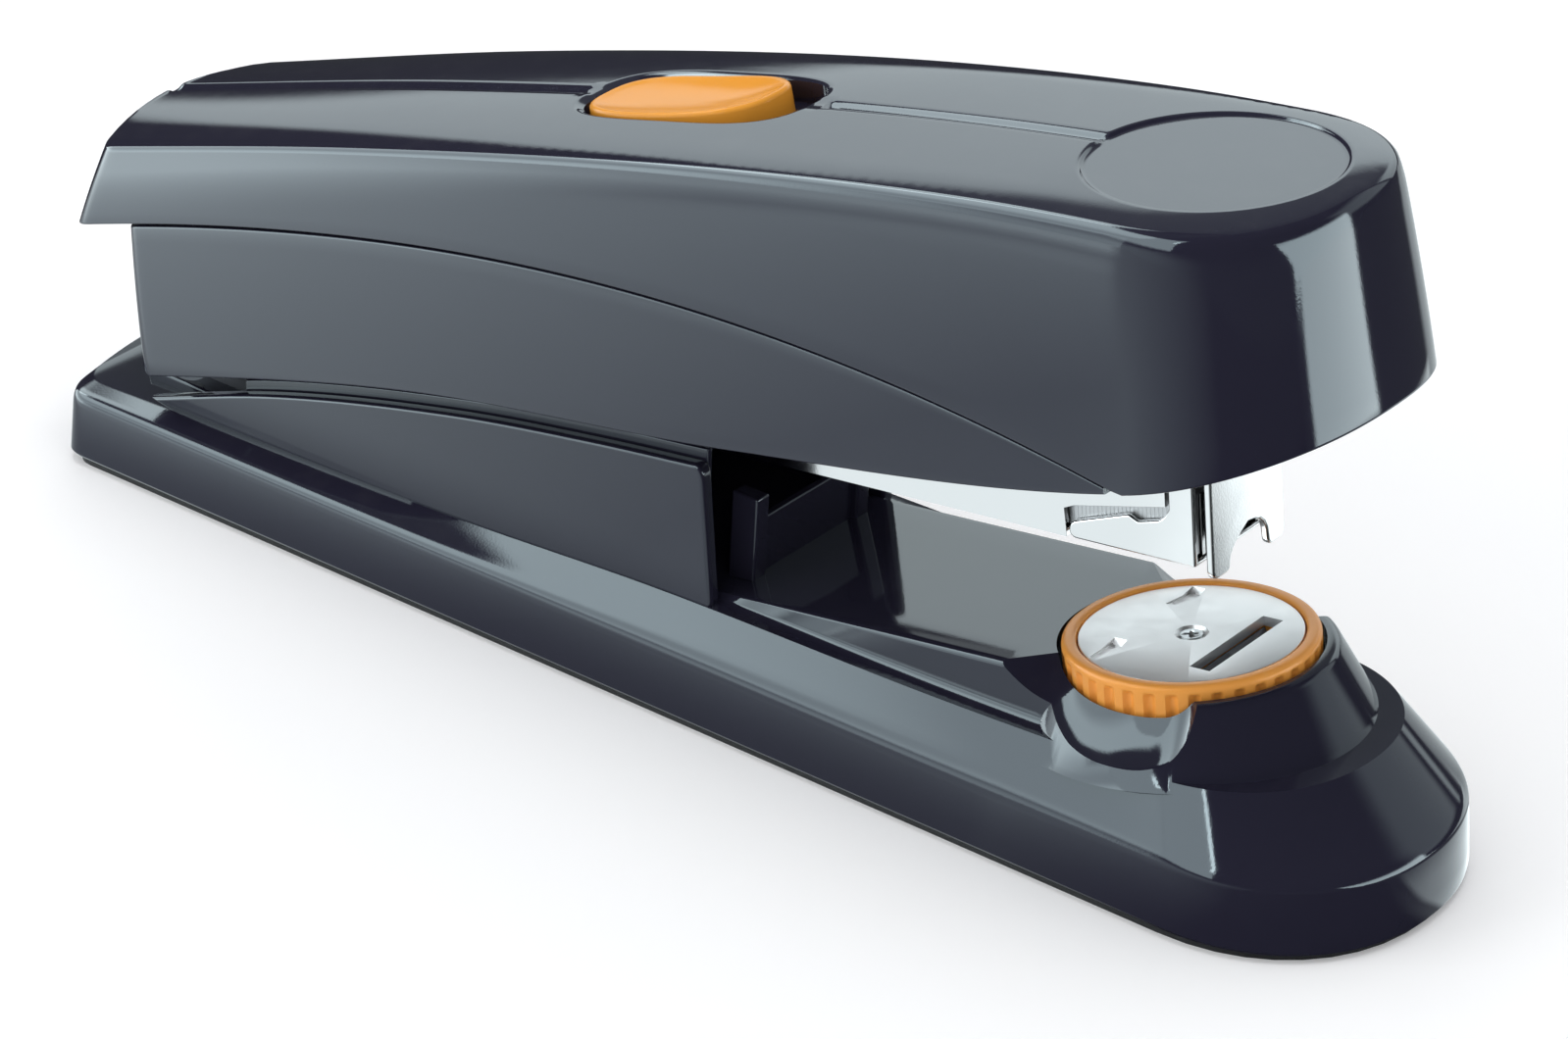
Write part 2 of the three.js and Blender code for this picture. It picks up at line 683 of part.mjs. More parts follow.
function magazineChannel() {
  const profile = outline([
    [channelRear, 0], [-13.1, 0], [-13.3, 3.5], [-11.9, 4.1], [0.5, 6.6], [0.5, channelHeight],
    [channelRear, channelHeight]]);
  let channel = uSection(channelHalf, channelWall, 0, channelHeight, channelRear, 5);
  channel = channel.intersect(prismY(profile, -20, 20));
  for (const x of rivetPlaces) channel = channel.subtract(rodY(x, rivetZ, rivetRadius + 0.12, -30, 30));
  return channel;
}

addPart(magazine, "arm_frame", armFrame(), materials.steel);
addPart(magazine, "magazine_channel", magazineChannel(), materials.chrome);

let rivetNumber = 0;
for (const x of rivetPlaces) {
  for (const side of [1, -1]) {
    rivetNumber += 1;
    let rivet = rodY(x, rivetZ, rivetRadius, channelHalf - channelWall + 0.1, frameHalf + 0.3, 16);
    rivet = rivet.add(rodY(x, rivetZ, rivetRadius + 0.8, frameHalf + 0.1, frameHalf + 0.5, 16));
    if (side < 0) rivet = rivet.mirror([0, 1, 0]);
    addPart(magazine, `magazine_rivet_${rivetNumber}`, rivet, materials.steel);
  }
}

// ---------- staple drawer ----------

function stapleRail() {
  let rail = box(railRear, headFront, -railHalf, railHalf, railFoot, railTop);
  const inner = railHalf - railWall;
  rail = rail.subtract(box(railRear + 1.2, headFront + 1, -inner, inner, railFoot - 1, railTop - railWall));
  rail = rail.subtract(box(
    railRear + 3, rodFront - 2, -neckHalf - slideGap, neckHalf + slideGap, railTop - 2, railTop + 1));
  rail = rail.add(box(rodFront - 1, rodFront + 0.4, -railHalf + 0.3, railHalf - 0.3, 2, railTop - 0.3));
  rail = rail.subtract(rodX(rodHeight, rodRadius + 0.06, railRear - 1, rodFront + 1));
  return rail.add(box(railRear - railTail, railRear + 0.6, -4, 4, railFoot, railFoot + 1));
}

function drawerHead() {
  const cheek = new THREE.Shape();
  cheek.moveTo(headFront, 0);
  cheek.lineTo(headFront, 12);
  cheek.lineTo(0.9, 12);
  cheek.lineTo(0.9, 6.5);
  cheek.quadraticCurveTo(0.3, 4.9, -1, 4.6);
  cheek.lineTo(-3.4, 4.0);
  cheek.lineTo(-4.6, 4.6);
  cheek.lineTo(-11.6, 2.3);
  cheek.quadraticCurveTo(-12.9, 1.9, -12.8, 0.7);
  cheek.quadraticCurveTo(-12.6, 0, -11.8, 0);
  const head = uSection(channelHalf, channelWall, 0, 12.5, -13, headFront);
  return head.intersect(prismY(cheek, -20, 20, 5));
}

function frontPlate() {
  const rear = driverPlane + bladeThickness / 2 + 0.3;
  const face = new THREE.Shape();
  face.moveTo(-channelHalf, frontPlateTop);
  face.lineTo(-channelHalf, -legDrop + 1.2);
  face.quadraticCurveTo(-channelHalf, -legDrop, -channelHalf + 1.2, -legDrop);
  face.lineTo(-4.6, -legDrop);
  face.quadraticCurveTo(-3.7, -legDrop, -3.7, -legDrop + 1.2);
  face.quadraticCurveTo(-3.6, 1.6, 0, 3.4);
  face.quadraticCurveTo(3.6, 3.2, 3.7, -legDrop + 1.2);
  face.quadraticCurveTo(3.7, -legDrop, 4.6, -legDrop);
  face.lineTo(channelHalf - 1.2, -legDrop);
  face.quadraticCurveTo(channelHalf, -legDrop, channelHalf, -legDrop + 1.2);
  face.lineTo(channelHalf, frontPlateTop);
  const plate = prismX(face, rear, rear + frontPlateThickness, 5);
  const ear = box(-3.8, rear + 0.5, channelHalf - channelWall, channelHalf, 12.3, 16.5);
  return plate.add(bothSides(ear));
}

function stapleStrip() {
  const strip = box(stripRear, headFront, -stapleHalf, stapleHalf, railFoot + 0.2, railTop + 0.1 + wire);
  const bore = stapleHalf - wire;
  return strip.subtract(box(stripRear - 1, headFront + 1, -bore, bore, -1, railTop + 0.1));
}

function follower() {
  const rear = stripRear - 0.3 - followerLength;
  const top = railTop + 0.1 + wire;
  const bore = stapleHalf - wire;
  let block = box(rear, rear + followerLength, -stapleHalf, stapleHalf, railFoot + 0.4, top);
  block = block.subtract(box(rear - 1, rear + followerLength + 1, -bore, bore, -1, railTop + 0.1));
  block = block.add(box(rear + 1, rear + followerLength - 1, -neckHalf, neckHalf, 5, railTop + 0.3));
  block = block.add(box(rear, rear + followerLength, -4.4, 4.4, 2.2, railTop - railWall - 0.3));
  return block.subtract(rodX(rodHeight, rodRadius + 0.2, rear - 1, rear + followerLength + 1));
}

function followerRod() {
  return rodX(rodHeight, rodRadius, railRear + 0.2, rodFront + 0.2);
}

function followerSpring() {
  const spring = coil(1.9, 0.3, railRear + 1.3, stripRear - followerLength - 0.4, 7);
  return spring.rotate([0, 90, 0]).translate([0, 0, rodHeight]);
}

addPart(magazine, "staple_rail", stapleRail(), materials.chrome);
addPart(magazine, "drawer_head", drawerHead(), materials.chrome);
addPart(magazine, "front_plate", frontPlate(), materials.chrome);
addPart(magazine, "staple_strip", stapleStrip(), materials.steel);
addPart(magazine, "follower", follower(), materials.darkPart);
addPart(magazine, "follower_rod", followerRod(), materials.steel);
addPart(magazine, "follower_spring", followerSpring(), materials.steel);

// ---------- drawer latch ----------

function drawerLatch() {
  const padHeight = railFoot + 1.3;
  const lever = prismY(outline([
    [latchX - 1.2, latchTop], [latchX - 1.2, latchTop - 2.6], [latchX + 1, latchTop - 3.6],
    [latchX + 0.6, latchZ + 4], [latchX - 2.4, latchZ + 1.4], [railRear - 5, railTop + 1.4],
    [railRear - 5, padHeight], [railRear - 1.2, padHeight], [railRear - 0.8, railTop + 1.1],
    [latchX + 1.2, latchZ - 2.2], [latchX + 2.3, latchZ - 0.9], [latchX + 2.6, latchZ + 0.8],
    [latchX + 2.8, latchTop - 1], [latchX + 1.8, latchTop]]), -2.6, 2.6);
  return lever.subtract(rodY(latchX, latchZ, latchPinRadius + 0.1, -30, 30));
}

addPart(magazine, "drawer_latch", drawerLatch(), materials.darkPart);
const latchPin = rodY(latchX, latchZ, latchPinRadius, -frameHalf, frameHalf);
addPart(magazine, "latch_pin", latchPin, materials.steel);

// ---------- driver ----------

const bladeFront = bladeRear + bladeThickness;
const blade = box(bladeRear, bladeFront, -bladeHalf, bladeHalf, bladeFoot, carrierTop - 2);
const carrier = box(bladeRear - 8, bladeRear - 0.3, -bladeHalf, bladeHalf, carrierFoot, carrierTop);
addPart(magazine, "driver_blade", blade, materials.steel);
addPart(magazine, "driver_carrier", carrier, materials.darkPart);

// ---------- handle casing ----------

const creaseHeight = through([[-158, 39.2], [-110, 55.5], [-60, 70.1], [-20, 79.1], [16, 84.6]]);
const creaseHalf = through([[-158, 17], [-110, 18.9], [-60, 19.9], [0, 19.9], [16, 19.7]]);
const crown = through([[-158, 2], [-60, 0.8], [16, 0.7]]);
const rimHeight = through([[-158, 8], [-141, 14.3], [-100, 27.2], [-50, 37.6], [0, 50.8], [23, 60.9]]);
const rimHalf = (x) => 22.5 + 0.0132 * (x - rimNoseStart);
const parting = new THREE.CubicBezierCurve(
  new THREE.Vector2(-156, 29.5), new THREE.Vector2(-105, 48.6), new THREE.Vector2(-54, 60),
  new THREE.Vector2(5.5, 51.6));

function casingRing(station, inset, rear) {
  const rim = edgePoint({
    rear,
    noseStart: rimNoseStart,
    noseReach: rimNoseReach - inset,
    power: nosePower,
    half: (x) => rimHalf(x) - inset,
    height: (x) => rimHeight(x) - (inset >= casingWall ? 8 : 0),
  }, station);
  const crease = edgePoint({
    rear,
    noseStart: creaseNoseStart,
    noseReach: creaseNoseReach - inset,
    power: nosePower,
    half: (x) => creaseHalf(x) - inset,
    height: (x) => creaseHeight(x) - inset,
  }, station);
  const swell = 0.5 * crease.y / creaseHalf(crease.x);
  const wall = (share) => new THREE.Vector3().lerpVectors(rim, crease, share)
    .add(new THREE.Vector3(0, 4 * swell * share * (1 - share), 0));
  const rise = crown(crease.x) * crease.y / creaseHalf(crease.x);
  const roof = (share) => new THREE.Vector3(
    crease.x, crease.y * share, crease.z + rise * (1 - share ** 2));
  const below = wall(1 - edgeRound / rim.distanceTo(crease));
  const beside = roof(1 - Math.min(0.4, edgeRound / crease.y));
  const corner = crease.clone().multiplyScalar(2).add(below).add(beside).multiplyScalar(0.25);
  const half = [rim, wall(0.35), wall(0.7), below, corner, beside, roof(0.5), roof(0.2)];
  return mirroredRing(half);
}

// the rear end leans back and bulges like a shallow arc
function rearCut(rear, lean) {
  const reach = 90;
  const radius = (creaseHalf(rear) ** 2 + rearBow ** 2) / (2 * rearBow);
  const angle = Math.asin(26 / radius);
  const plan = new THREE.Shape();
  plan.absarc(rear + radius, 0, radius, Math.PI - angle, Math.PI + angle, false);
  plan.lineTo(rear + 3 * reach, -26);
  plan.lineTo(rear + 3 * reach, 26);
  const prism = prismZ(plan, -60, reach, 12).translate([-rear, 0, 0]);
  return prism.rotate([0, lean, 0]).translate([rear, 0, 44]);
}

function casingBody(inset, rear, lean) {
  const rings = stations(12, 12).map((station) => casingRing(station, inset, -158));
  return loft(rings).intersect(rearCut(rear, lean));
}

// side view of the lower shell's rear end, rounded under
function skirtEnd(inset) {
  const shape = new THREE.Shape();
  shape.moveTo(skirtRear - 10, 60);
  shape.lineTo(skirtRear - 10, 24);
  shape.lineTo(skirtRear + 3.4 + inset, 19);
  shape.quadraticCurveTo(skirtRear + 6.2 + inset, 14.6, skirtRear + 12, 14);
  shape.lineTo(60, -20);
  shape.lineTo(60, 60);
  return prismY(shape, -40, 40, 6);
}

function partingSolid(above, drop) {
  const points = parting.getPoints(20);
  const shape = new THREE.Shape();
  const far = above ? 120 : -20;
  shape.moveTo(points[0].x - 10, points[0].y - drop - 3);
  for (const point of points) shape.lineTo(point.x, point.y - drop);
  if (above) {
    shape.lineTo(12, 20);
    shape.lineTo(60, 20);
    shape.lineTo(60, far);
    shape.lineTo(points[0].x - 10, far);
  } else {
    shape.lineTo(points[20].x, far);
    shape.lineTo(points[0].x - 10, far);
  }
  return prismY(shape, -40, 40);
}

// half of the button's plan drawn out by a margin, its nose end moved on by a stretch
function buttonPlan(margin, sideMargin, stretch, height) {
  const half = [];
  for (let i = 0; i <= 24; i += 1) {
    const angle = Math.PI * (0.004 + 0.992 * i / 24);
    const c = Math.cos(angle);
    const along = Math.sign(c) * Math.abs(c) ** (2 / buttonPower) * (buttonHalfLength + margin);
    const across = Math.sin(angle) ** (2 / buttonPower) * (buttonHalfWidth + sideMargin);
    half.push(new THREE.Vector3(along + (c > 0 ? stretch : 0), across, height));
  }
  return mirroredRing(half);
}

function buttonPrism(margin, sideMargin, stretch, low, high) {
  return loft([low, high].map((height) => buttonPlan(margin, sideMargin, stretch, height)));
}

// V-shaped cutter along the middle of the roof
function seamCut(low, high) {
  const rings = [];
  for (let i = 0; i <= 12; i += 1) {
    const x = THREE.MathUtils.lerp(low, high, i / 12);
    const top = creaseHeight(x) + crown(x);
    rings.push(mirroredRing([
      new THREE.Vector3(x, 0.25, top - seamDepth),
      new THREE.Vector3(x, seamHalf, top + 0.1),
      new THREE.Vector3(x, seamHalf, top + 4)]));
  }
  return loft(rings);
}

const buttonSlope = Math.atan((creaseHeight(buttonX + 5) - creaseHeight(buttonX - 5)) / 10);
const buttonTop = creaseHeight(buttonX) + crown(buttonX);

// places something drawn about x = 0, z = 0 on the roof at the button
function onRoof(body) {
  return tilted(body, buttonSlope).translate([buttonX, 0, buttonTop]);
}

function handleCover() {
  const walls = casingBody(0, casingRear, casingLean)
    .subtract(casingBody(casingWall, casingRear + casingWall, casingLean));
  let cover = walls.intersect(partingSolid(true, 0));
  const wall = 0.9 * wellFlare;
  cover = cover.add(onRoof(buttonPrism(wall, wall, buttonTravel, -wellDepth - 1.6, -1.4)));
  cover = cover.subtract(seamCut(-160, buttonX - buttonHalfLength));
  cover = cover.subtract(seamCut(buttonX + buttonHalfLength, padX - padRadius + 1));
  const flare = [[-wellFlareDepth, 0], [0.25, wellFlare], [7, wellFlare]].map(([height, out]) =>
    buttonPlan(buttonGap + out, buttonSideGap + out, buttonTravel, height));
  cover = cover.subtract(onRoof(loft(flare)));
  cover = cover.subtract(onRoof(buttonPrism(buttonGap, buttonSideGap, buttonTravel, -wellDepth, 6)));
  cover = cover.subtract(onRoof(box(-5, 5 + buttonTravel, -3.3, 3.3, -12, 0)));
  cover = cover.add(box(-9, 1, -5, 5, 69.3, 80.8));
  const padSlope = Math.atan((creaseHeight(padX + 5) - creaseHeight(padX - 5)) / 10);
  const padTop = creaseHeight(padX) + crown(padX);
  const padCut = rodZ(0, 0, padRadius, -padDepth, 8, 64);
  cover = cover.subtract(tilted(padCut, padSlope).translate([padX, 0, padTop]));
  return cover;
}

function handleSkirt() {
  const inner = skirtInset + casingWall;
  const outside = casingBody(skirtInset, skirtRear, -skirtLean).intersect(skirtEnd(0));
  const inside = casingBody(inner, skirtRear + casingWall, -skirtLean).intersect(skirtEnd(casingWall));
  const walls = outside.subtract(inside);
  let skirt = walls.intersect(partingSolid(false, partingGap));
  const lug = rodY(pivotX, pivotZ, lugRadius, lugInner, lugHalf, 28);
  skirt = skirt.add(bothSides(lug));
  return skirt.subtract(rodY(pivotX, pivotZ, pinRadius + pinClearance, -pinHalf - 0.3, pinHalf + 0.3));
}

addPart(stapler, "handle_cover", handleCover(), materials.shell);
addPart(stapler, "handle_skirt", handleSkirt(), materials.shell);

const springFoot = pivotZ + (handleSpringX - pivotX) * Math.tan(armAngle)
  + (frameTop - channelDrop) / Math.cos(armAngle);
const springHead = creaseHeight(handleSpringX) - casingWall - 1.4;
const handleSpring = coil(handleSpringRadius, handleSpringWire, springFoot + 1.2, springHead, 7);
addPart(stapler, "handle_spring", handleSpring.translate([handleSpringX, 0, 0]), materials.steel);

// ---------- release button ----------

function releaseButton() {
  let button = loft([[-wellDepth + 0.3, 0], [-0.5, 0], [0.1, -0.5]].map(([height, out]) =>
    buttonPlan(out, out, 0, height)));
  const dish = new THREE.SphereGeometry(1, 48, 24).rotateX(Math.PI / 2).scale(30, 11, 6);
  button = button.subtract(solid(dish.translate(2, 0, 5.1)));
  return onRoof(button.add(box(-4.4, 4.4, -2.8, 2.8, -wellDepth - 2.2, -wellDepth + 1)));
}

function releaseSlider() {
  const tailFront = -11.4 - latchReserve;
  const plate = box(tailFront - 1.6, 8, -6, 6, -wellDepth - 3.6, -wellDepth - 2.5);
  const tail = box(tailFront - 1.6, tailFront, -4, 4, -wellDepth - 12, -wellDepth - 3);
  return onRoof(plate.add(tail));
}

addPart(stapler, "release_button", releaseButton(), materials.orange);
addPart(stapler, "release_slider", releaseSlider(), materials.darkPart);

export default stapler;
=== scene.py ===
import math

import bmesh
import bpy
from mathutils import Matrix, Vector
from mathutils.geometry import delaunay_2d_cdt


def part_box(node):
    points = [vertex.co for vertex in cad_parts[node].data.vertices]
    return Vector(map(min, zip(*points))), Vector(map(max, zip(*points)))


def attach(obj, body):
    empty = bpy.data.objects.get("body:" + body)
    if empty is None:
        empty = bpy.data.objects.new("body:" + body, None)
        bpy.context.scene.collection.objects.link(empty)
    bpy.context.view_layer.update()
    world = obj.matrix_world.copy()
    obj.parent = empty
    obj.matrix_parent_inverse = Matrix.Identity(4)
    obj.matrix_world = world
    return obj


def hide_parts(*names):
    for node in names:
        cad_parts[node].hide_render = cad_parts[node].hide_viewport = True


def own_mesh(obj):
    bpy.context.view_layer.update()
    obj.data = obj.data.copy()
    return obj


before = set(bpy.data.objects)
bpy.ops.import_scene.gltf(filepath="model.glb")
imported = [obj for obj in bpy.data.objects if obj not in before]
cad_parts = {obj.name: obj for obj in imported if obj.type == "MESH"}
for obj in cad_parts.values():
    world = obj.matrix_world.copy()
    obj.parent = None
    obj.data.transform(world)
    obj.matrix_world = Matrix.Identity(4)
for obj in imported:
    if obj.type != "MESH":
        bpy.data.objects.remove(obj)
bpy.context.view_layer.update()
scene = bpy.context.scene
scene.view_settings.view_transform = "Standard"

# ---------- camera, studio and table ----------
# The stapler stands on a white table in a white studio, and a long lens looks down on its near side from the
# nose end. Softboxes hang overhead, low to the left and behind. The glossy skin mirrors the studio's windows
# and its panels. What it shows of the table is a painted reflection, a glow the table gives to glossy rays
# alone, dimmed beside the base as a painted shadow.
turn, lift, lean = math.radians(35.8611), math.radians(29.2025), math.radians(2.9478)
back = Vector((math.sin(turn) * math.cos(lift), -math.cos(turn) * math.cos(lift), math.sin(lift)))
right = Vector((math.cos(turn), math.sin(turn), 0))
up = back.cross(right)
camera = bpy.data.objects.new("camera", bpy.data.cameras.new("camera"))
camera.data.lens = 138.62
camera.data.sensor_width = 36
camera.data.clip_start = 0.01
camera.matrix_world = Matrix((
    right * math.cos(lean) + up * math.sin(lean),
    up * math.cos(lean) - right * math.sin(lean), back)).transposed().to_4x4()
camera.location = (0.3073511, -0.5045974, 0.365075)
scene.collection.objects.link(camera)
scene.camera = camera


def node_in(tree, kind, **settings):
    node = tree.nodes.new(kind)
    for key, value in settings.items():
        setattr(node, key, value)
    return node


def plug(tree, node, **inputs):
    """Sets or links a node's inputs, named by their labels with _ for a space, or by i and their place."""
    for key, value in inputs.items():
        by_place = key[0] == "i" and key[1:].isdigit()
        socket = node.inputs[int(key[1:])] if by_place else node.inputs[key.replace("_", " ")]
        if isinstance(value, bpy.types.NodeSocket):
            tree.links.new(value, socket)
        else:
            socket.default_value = value
    return node


def made(tree, kind, **inputs):
    """A new node with its inputs set or linked."""
    return plug(tree, node_in(tree, kind), **inputs)


def vector(tree, **axes):
    return made(tree, "ShaderNodeCombineXYZ", **axes).outputs[0]


def math_node(tree, operation, first, second=0.0):
    node = node_in(tree, "ShaderNodeMath", operation=operation)
    return plug(tree, node, i0=first, i1=second).outputs[0]


def product(tree, first, *others):
    for other in others:
        first = math_node(tree, "MULTIPLY", first, other)
    return first


def total(tree, first, *others):
    for other in others:
        first = math_node(tree, "ADD", first, other)
    return first


def rest_of(tree, share):
    return math_node(tree, "SUBTRACT", 1.0, share)


def ramp_between(tree, value, low, high, to_low=0.0, to_high=1.0):
    """A smooth step of value; low above high turns it round."""
    node = node_in(tree, "ShaderNodeMapRange", interpolation_type="SMOOTHSTEP")
    plug(tree, node, Value=value, From_Min=low, From_Max=high, To_Min=to_low, To_Max=to_high)
    return node.outputs["Result"]


def graded(tree, value, first, *steps):
    """A level that starts at first and changes smoothly by each (from, to, change) step of value."""
    changes = [ramp_between(tree, value, low, high, 0.0, change) for low, high, change in steps]
    return total(tree, first, *changes)


def blend_color(tree, factor, first, second):
    node = node_in(tree, "ShaderNodeMix", data_type="RGBA")
    return plug(tree, node, i0=factor, i6=first, i7=second).outputs[2]


world = bpy.data.worlds.new("studio")
scene.world = world
world.use_nodes = True
studio = world.node_tree
path = node_in(studio, "ShaderNodeLightPath")
direction = node_in(studio, "ShaderNodeTexCoord").outputs["Generated"]
across, away, height = made(studio, "ShaderNodeSeparateXYZ", Vector=direction).outputs
level_way = node_in(studio, "ShaderNodeVectorMath", operation="NORMALIZE")
level_way = plug(studio, level_way, i0=vector(studio, X=across, Y=away, Z=0.0)).outputs[0]


def source(bearing, edge, *profiles):
    """A light on a bearing in plan. It comes up as the cosine of the angle to it passes the edge."""
    angle = math.radians(bearing)
    node = node_in(studio, "ShaderNodeVectorMath", operation="DOT_PRODUCT")
    facing = plug(studio, node, i0=level_way, i1=(math.cos(angle), math.sin(angle), 0.0)).outputs["Value"]
    return product(studio, ramp_between(studio, facing, *edge), *profiles)


def by_height(low, high, level=1.0):
    return ramp_between(studio, height, low, high, 0.0, level)


room_level, frame_level, strip_level = 0.05, 12.0, 6.8
low_left = math_node(studio, "MAXIMUM", source(-165, (0.766, 0.891, 0.27, 1.0)), by_height(0.12, 0.28))
window_fall = graded(studio, height, 6.8, (0.08, 0.4, -2.6), (0.45, 0.62, 2.6), (0.75, 0.79, -6.7))
window = source(-153.5, (0.8, 0.808), window_fall, low_left)
window_top = source(163, (0.945, 0.97), graded(studio, height, 0.0, (0.52, 0.58, 6.0), (0.74, 0.79, -6.0)))
window_side = source(-103, (0.9695, 0.9715), by_height(0.18, 0.27, 4.3), by_height(0.79, 0.75))
window_frame = source(-90.2, (0.9997, 0.99985), by_height(0.45, 0.52), by_height(0.66, 0.62), frame_level)
slant = math_node(studio, "DIVIDE", across, math_node(studio, "MAXIMUM", product(studio, away, -1.0), 0.05))
glow = product(
    studio, ramp_between(studio, slant, 0.6, -0.5, 0.05, 1.3), by_height(0.2, 0.05),
    ramp_between(studio, away, 0.0, -0.05))
lifted = total(studio, height, source(112, (0.93, 1.0, 0.0, 0.084)))
panel_rise = graded(studio, lifted, 0.0, (0.02, 0.07, 1.3), (0.1, 0.35, 0.5), (0.38, 0.48, -1.6))
panel = source(112, (0.835, 0.86), panel_rise)
rise = math_node(studio, "DIVIDE", away, math_node(studio, "MAXIMUM", across, 0.02))
right_half = ramp_between(studio, across, 0.0, 0.05)
strip = product(
    studio, ramp_between(studio, graded(studio, height, rise, (-0.5, 0.5, 0.65)), 0.345, 0.37),
    ramp_between(studio, rise, 1.0, 0.94), right_half, by_height(0.33, 0.2), strip_level)
side_glow = product(
    studio, ramp_between(studio, rise, 0.6, 1.1, 0.0, 0.85), ramp_between(studio, rise, 5.0, 3.5), right_half,
    by_height(0.1, 0.2), by_height(0.66, 0.5))
mirrored = total(
    studio, window, window_frame, panel, glow, strip, window_top, room_level, window_side, side_glow)
glossy = path.outputs["Is Glossy Ray"]
seen = math_node(studio, "MAXIMUM", path.outputs["Is Camera Ray"], path.outputs["Is Transmission Ray"])
shown = blend_color(studio, glossy, (0.62, 0.63, 0.65, 1), (0.86, 0.97, 1.0, 1))
shown = blend_color(studio, seen, shown, (1, 1, 1, 1))
strength = total(studio, product(studio, glossy, mirrored), rest_of(studio, glossy))
plug(studio, studio.nodes["Background"], Color=shown, Strength=strength)


def softbox(name, place, aim, size, power):
    lamp = bpy.data.lights.new(name, "AREA")
    lamp.shape = "RECTANGLE"
    lamp.size, lamp.size_y = size
    lamp.energy = power
    holder = bpy.data.objects.new(name, lamp)
    holder.location = place
    holder.rotation_euler = (Vector(aim) - Vector(place)).to_track_quat("-Z", "Y").to_euler()
    holder.visible_glossy = False
    scene.collection.objects.link(holder)


softbox("overhead", (-0.1, 0.05, 1.1), (-0.05, 0, 0.03), (0.7, 0.5), 3.4)
softbox("left_box", (-0.56, -0.72, 0.42), (-0.06, 0, 0.03), (0.5, 0.42), 2.2)
softbox("back_box", (-0.75, 0.85, 0.42), (-0.06, 0, 0.05), (0.8, 0.4), 1.6)

table_half = 4
corners = [(x * table_half, y * table_half, 0) for x, y in ((-1, -1), (1, -1), (1, 1), (-1, 1))]
floor_mesh = bpy.data.meshes.new("table")
floor_mesh.from_pydata(corners, [], [(0, 1, 2, 3)])
floor = bpy.data.objects.new("table", floor_mesh)
scene.collection.objects.link(floor)
# To the camera the table is matt white with a slight even glow. To glossy rays it is a painted reflection
# instead: an emission laid out as bright and dark patches, not lit by anything.
table_white = bpy.data.materials.new("table_white")
table_white.use_nodes = True
tree = table_white.node_tree
bsdf = tree.nodes["Principled BSDF"]
plug(tree, bsdf, Base_Color=(0.93, 0.93, 0.93, 1), Roughness=0.9)
spot = node_in(tree, "ShaderNodeTexCoord").outputs["Object"]
across, away, _ = made(tree, "ShaderNodeSeparateXYZ", Vector=spot).outputs
toward = product(tree, away, -1.0)
slant = math_node(tree, "DIVIDE", across, math_node(tree, "MAXIMUM", toward, 0.002))


def straight_ramp(value, low, high, to_low, to_high):
    node = made(tree, "ShaderNodeMapRange", Value=value, From_Min=low, From_Max=high)
    return plug(tree, node, To_Min=to_low, To_Max=to_high).outputs[0]


left_side = straight_ramp(across, -0.445, -0.085, 6.8, 1.1)
fading = straight_ramp(slant, -0.5, 0.6, 1.3, 0.05)
bearing = math_node(tree, "DIVIDE", away, math_node(tree, "MINIMUM", across, -0.01))
# A painted dark patch in the table's painted reflection.
painted_dark_patch = product(
    tree, ramp_between(tree, bearing, 0.6, 1.1, 0.0, 0.45), ramp_between(tree, across, -0.16, -0.24))
swap = ramp_between(tree, slant, -0.62, -0.45)
near_side = total(
    tree, product(tree, left_side, rest_of(tree, painted_dark_patch), rest_of(tree, swap)), product(tree, fading, swap))
# Painted shadow: the painted reflection dims to about a third right beside the base's near side.
near_side = product(tree, near_side, ramp_between(tree, toward, 0.026, 0.045, 0.35, 1.0))
reach = plug(tree, node_in(tree, "ShaderNodeVectorMath", operation="LENGTH"), i0=spot).outputs["Value"]
rise = math_node(tree, "DIVIDE", away, math_node(tree, "MAXIMUM", across, 0.002))
strip = product(
    tree, ramp_between(tree, rise, 0.07, 0.13), ramp_between(tree, rise, 1.0, 0.93),
    ramp_between(tree, across, 0.0, 0.01), graded(tree, reach, 1.4, (0.04, 0.06, -1.3), (0.19, 0.27, 6.6)))
nearby = product(
    tree, ramp_between(tree, rise, 1.0, 1.3, 0.0, 1.7), ramp_between(tree, reach, 0.2, 0.17),
    ramp_between(tree, across, 0.02, 0.04))
far_side = total(tree, strip, nearby, graded(tree, across, 0.04, (-0.2, -0.12, 0.8), (0.015, 0.05, -0.76)))
behind = ramp_between(tree, away, -0.002, 0.002)
painted_reflection_glow = total(tree, product(tree, near_side, rest_of(tree, behind)), product(tree, far_side, behind))
# The painted reflection: the table glows with it for glossy rays only.
painted_reflection = made(tree, "ShaderNodeEmission", Color=(0.88, 0.975, 1.0, 1), Strength=painted_reflection_glow).outputs[0]
lit = made(tree, "ShaderNodeEmission", Color=(1, 1, 1, 1), Strength=0.17).outputs[0]
ray = node_in(tree, "ShaderNodeLightPath").outputs
matt = bsdf.outputs[0]
brighter = made(tree, "ShaderNodeAddShader", i0=matt, i1=lit).outputs[0]
at_camera = made(tree, "ShaderNodeMixShader", i0=ray["Is Camera Ray"], i1=matt, i2=brighter).outputs[0]
choose = made(tree, "ShaderNodeMixShader", i0=ray["Is Glossy Ray"], i1=at_camera, i2=painted_reflection).outputs[0]
plug(tree, tree.nodes["Material Output"], Surface=choose)
floor_mesh.materials.append(table_white)

# ---------- base shell ----------
# The base is one moulding in glossy black ABS: a low tray with chamfered shoulders, two upright wings,
# the sloping deck, and the round collar that the anvil wheel turns in. The steel plate closes it from below.
MM = 0.001


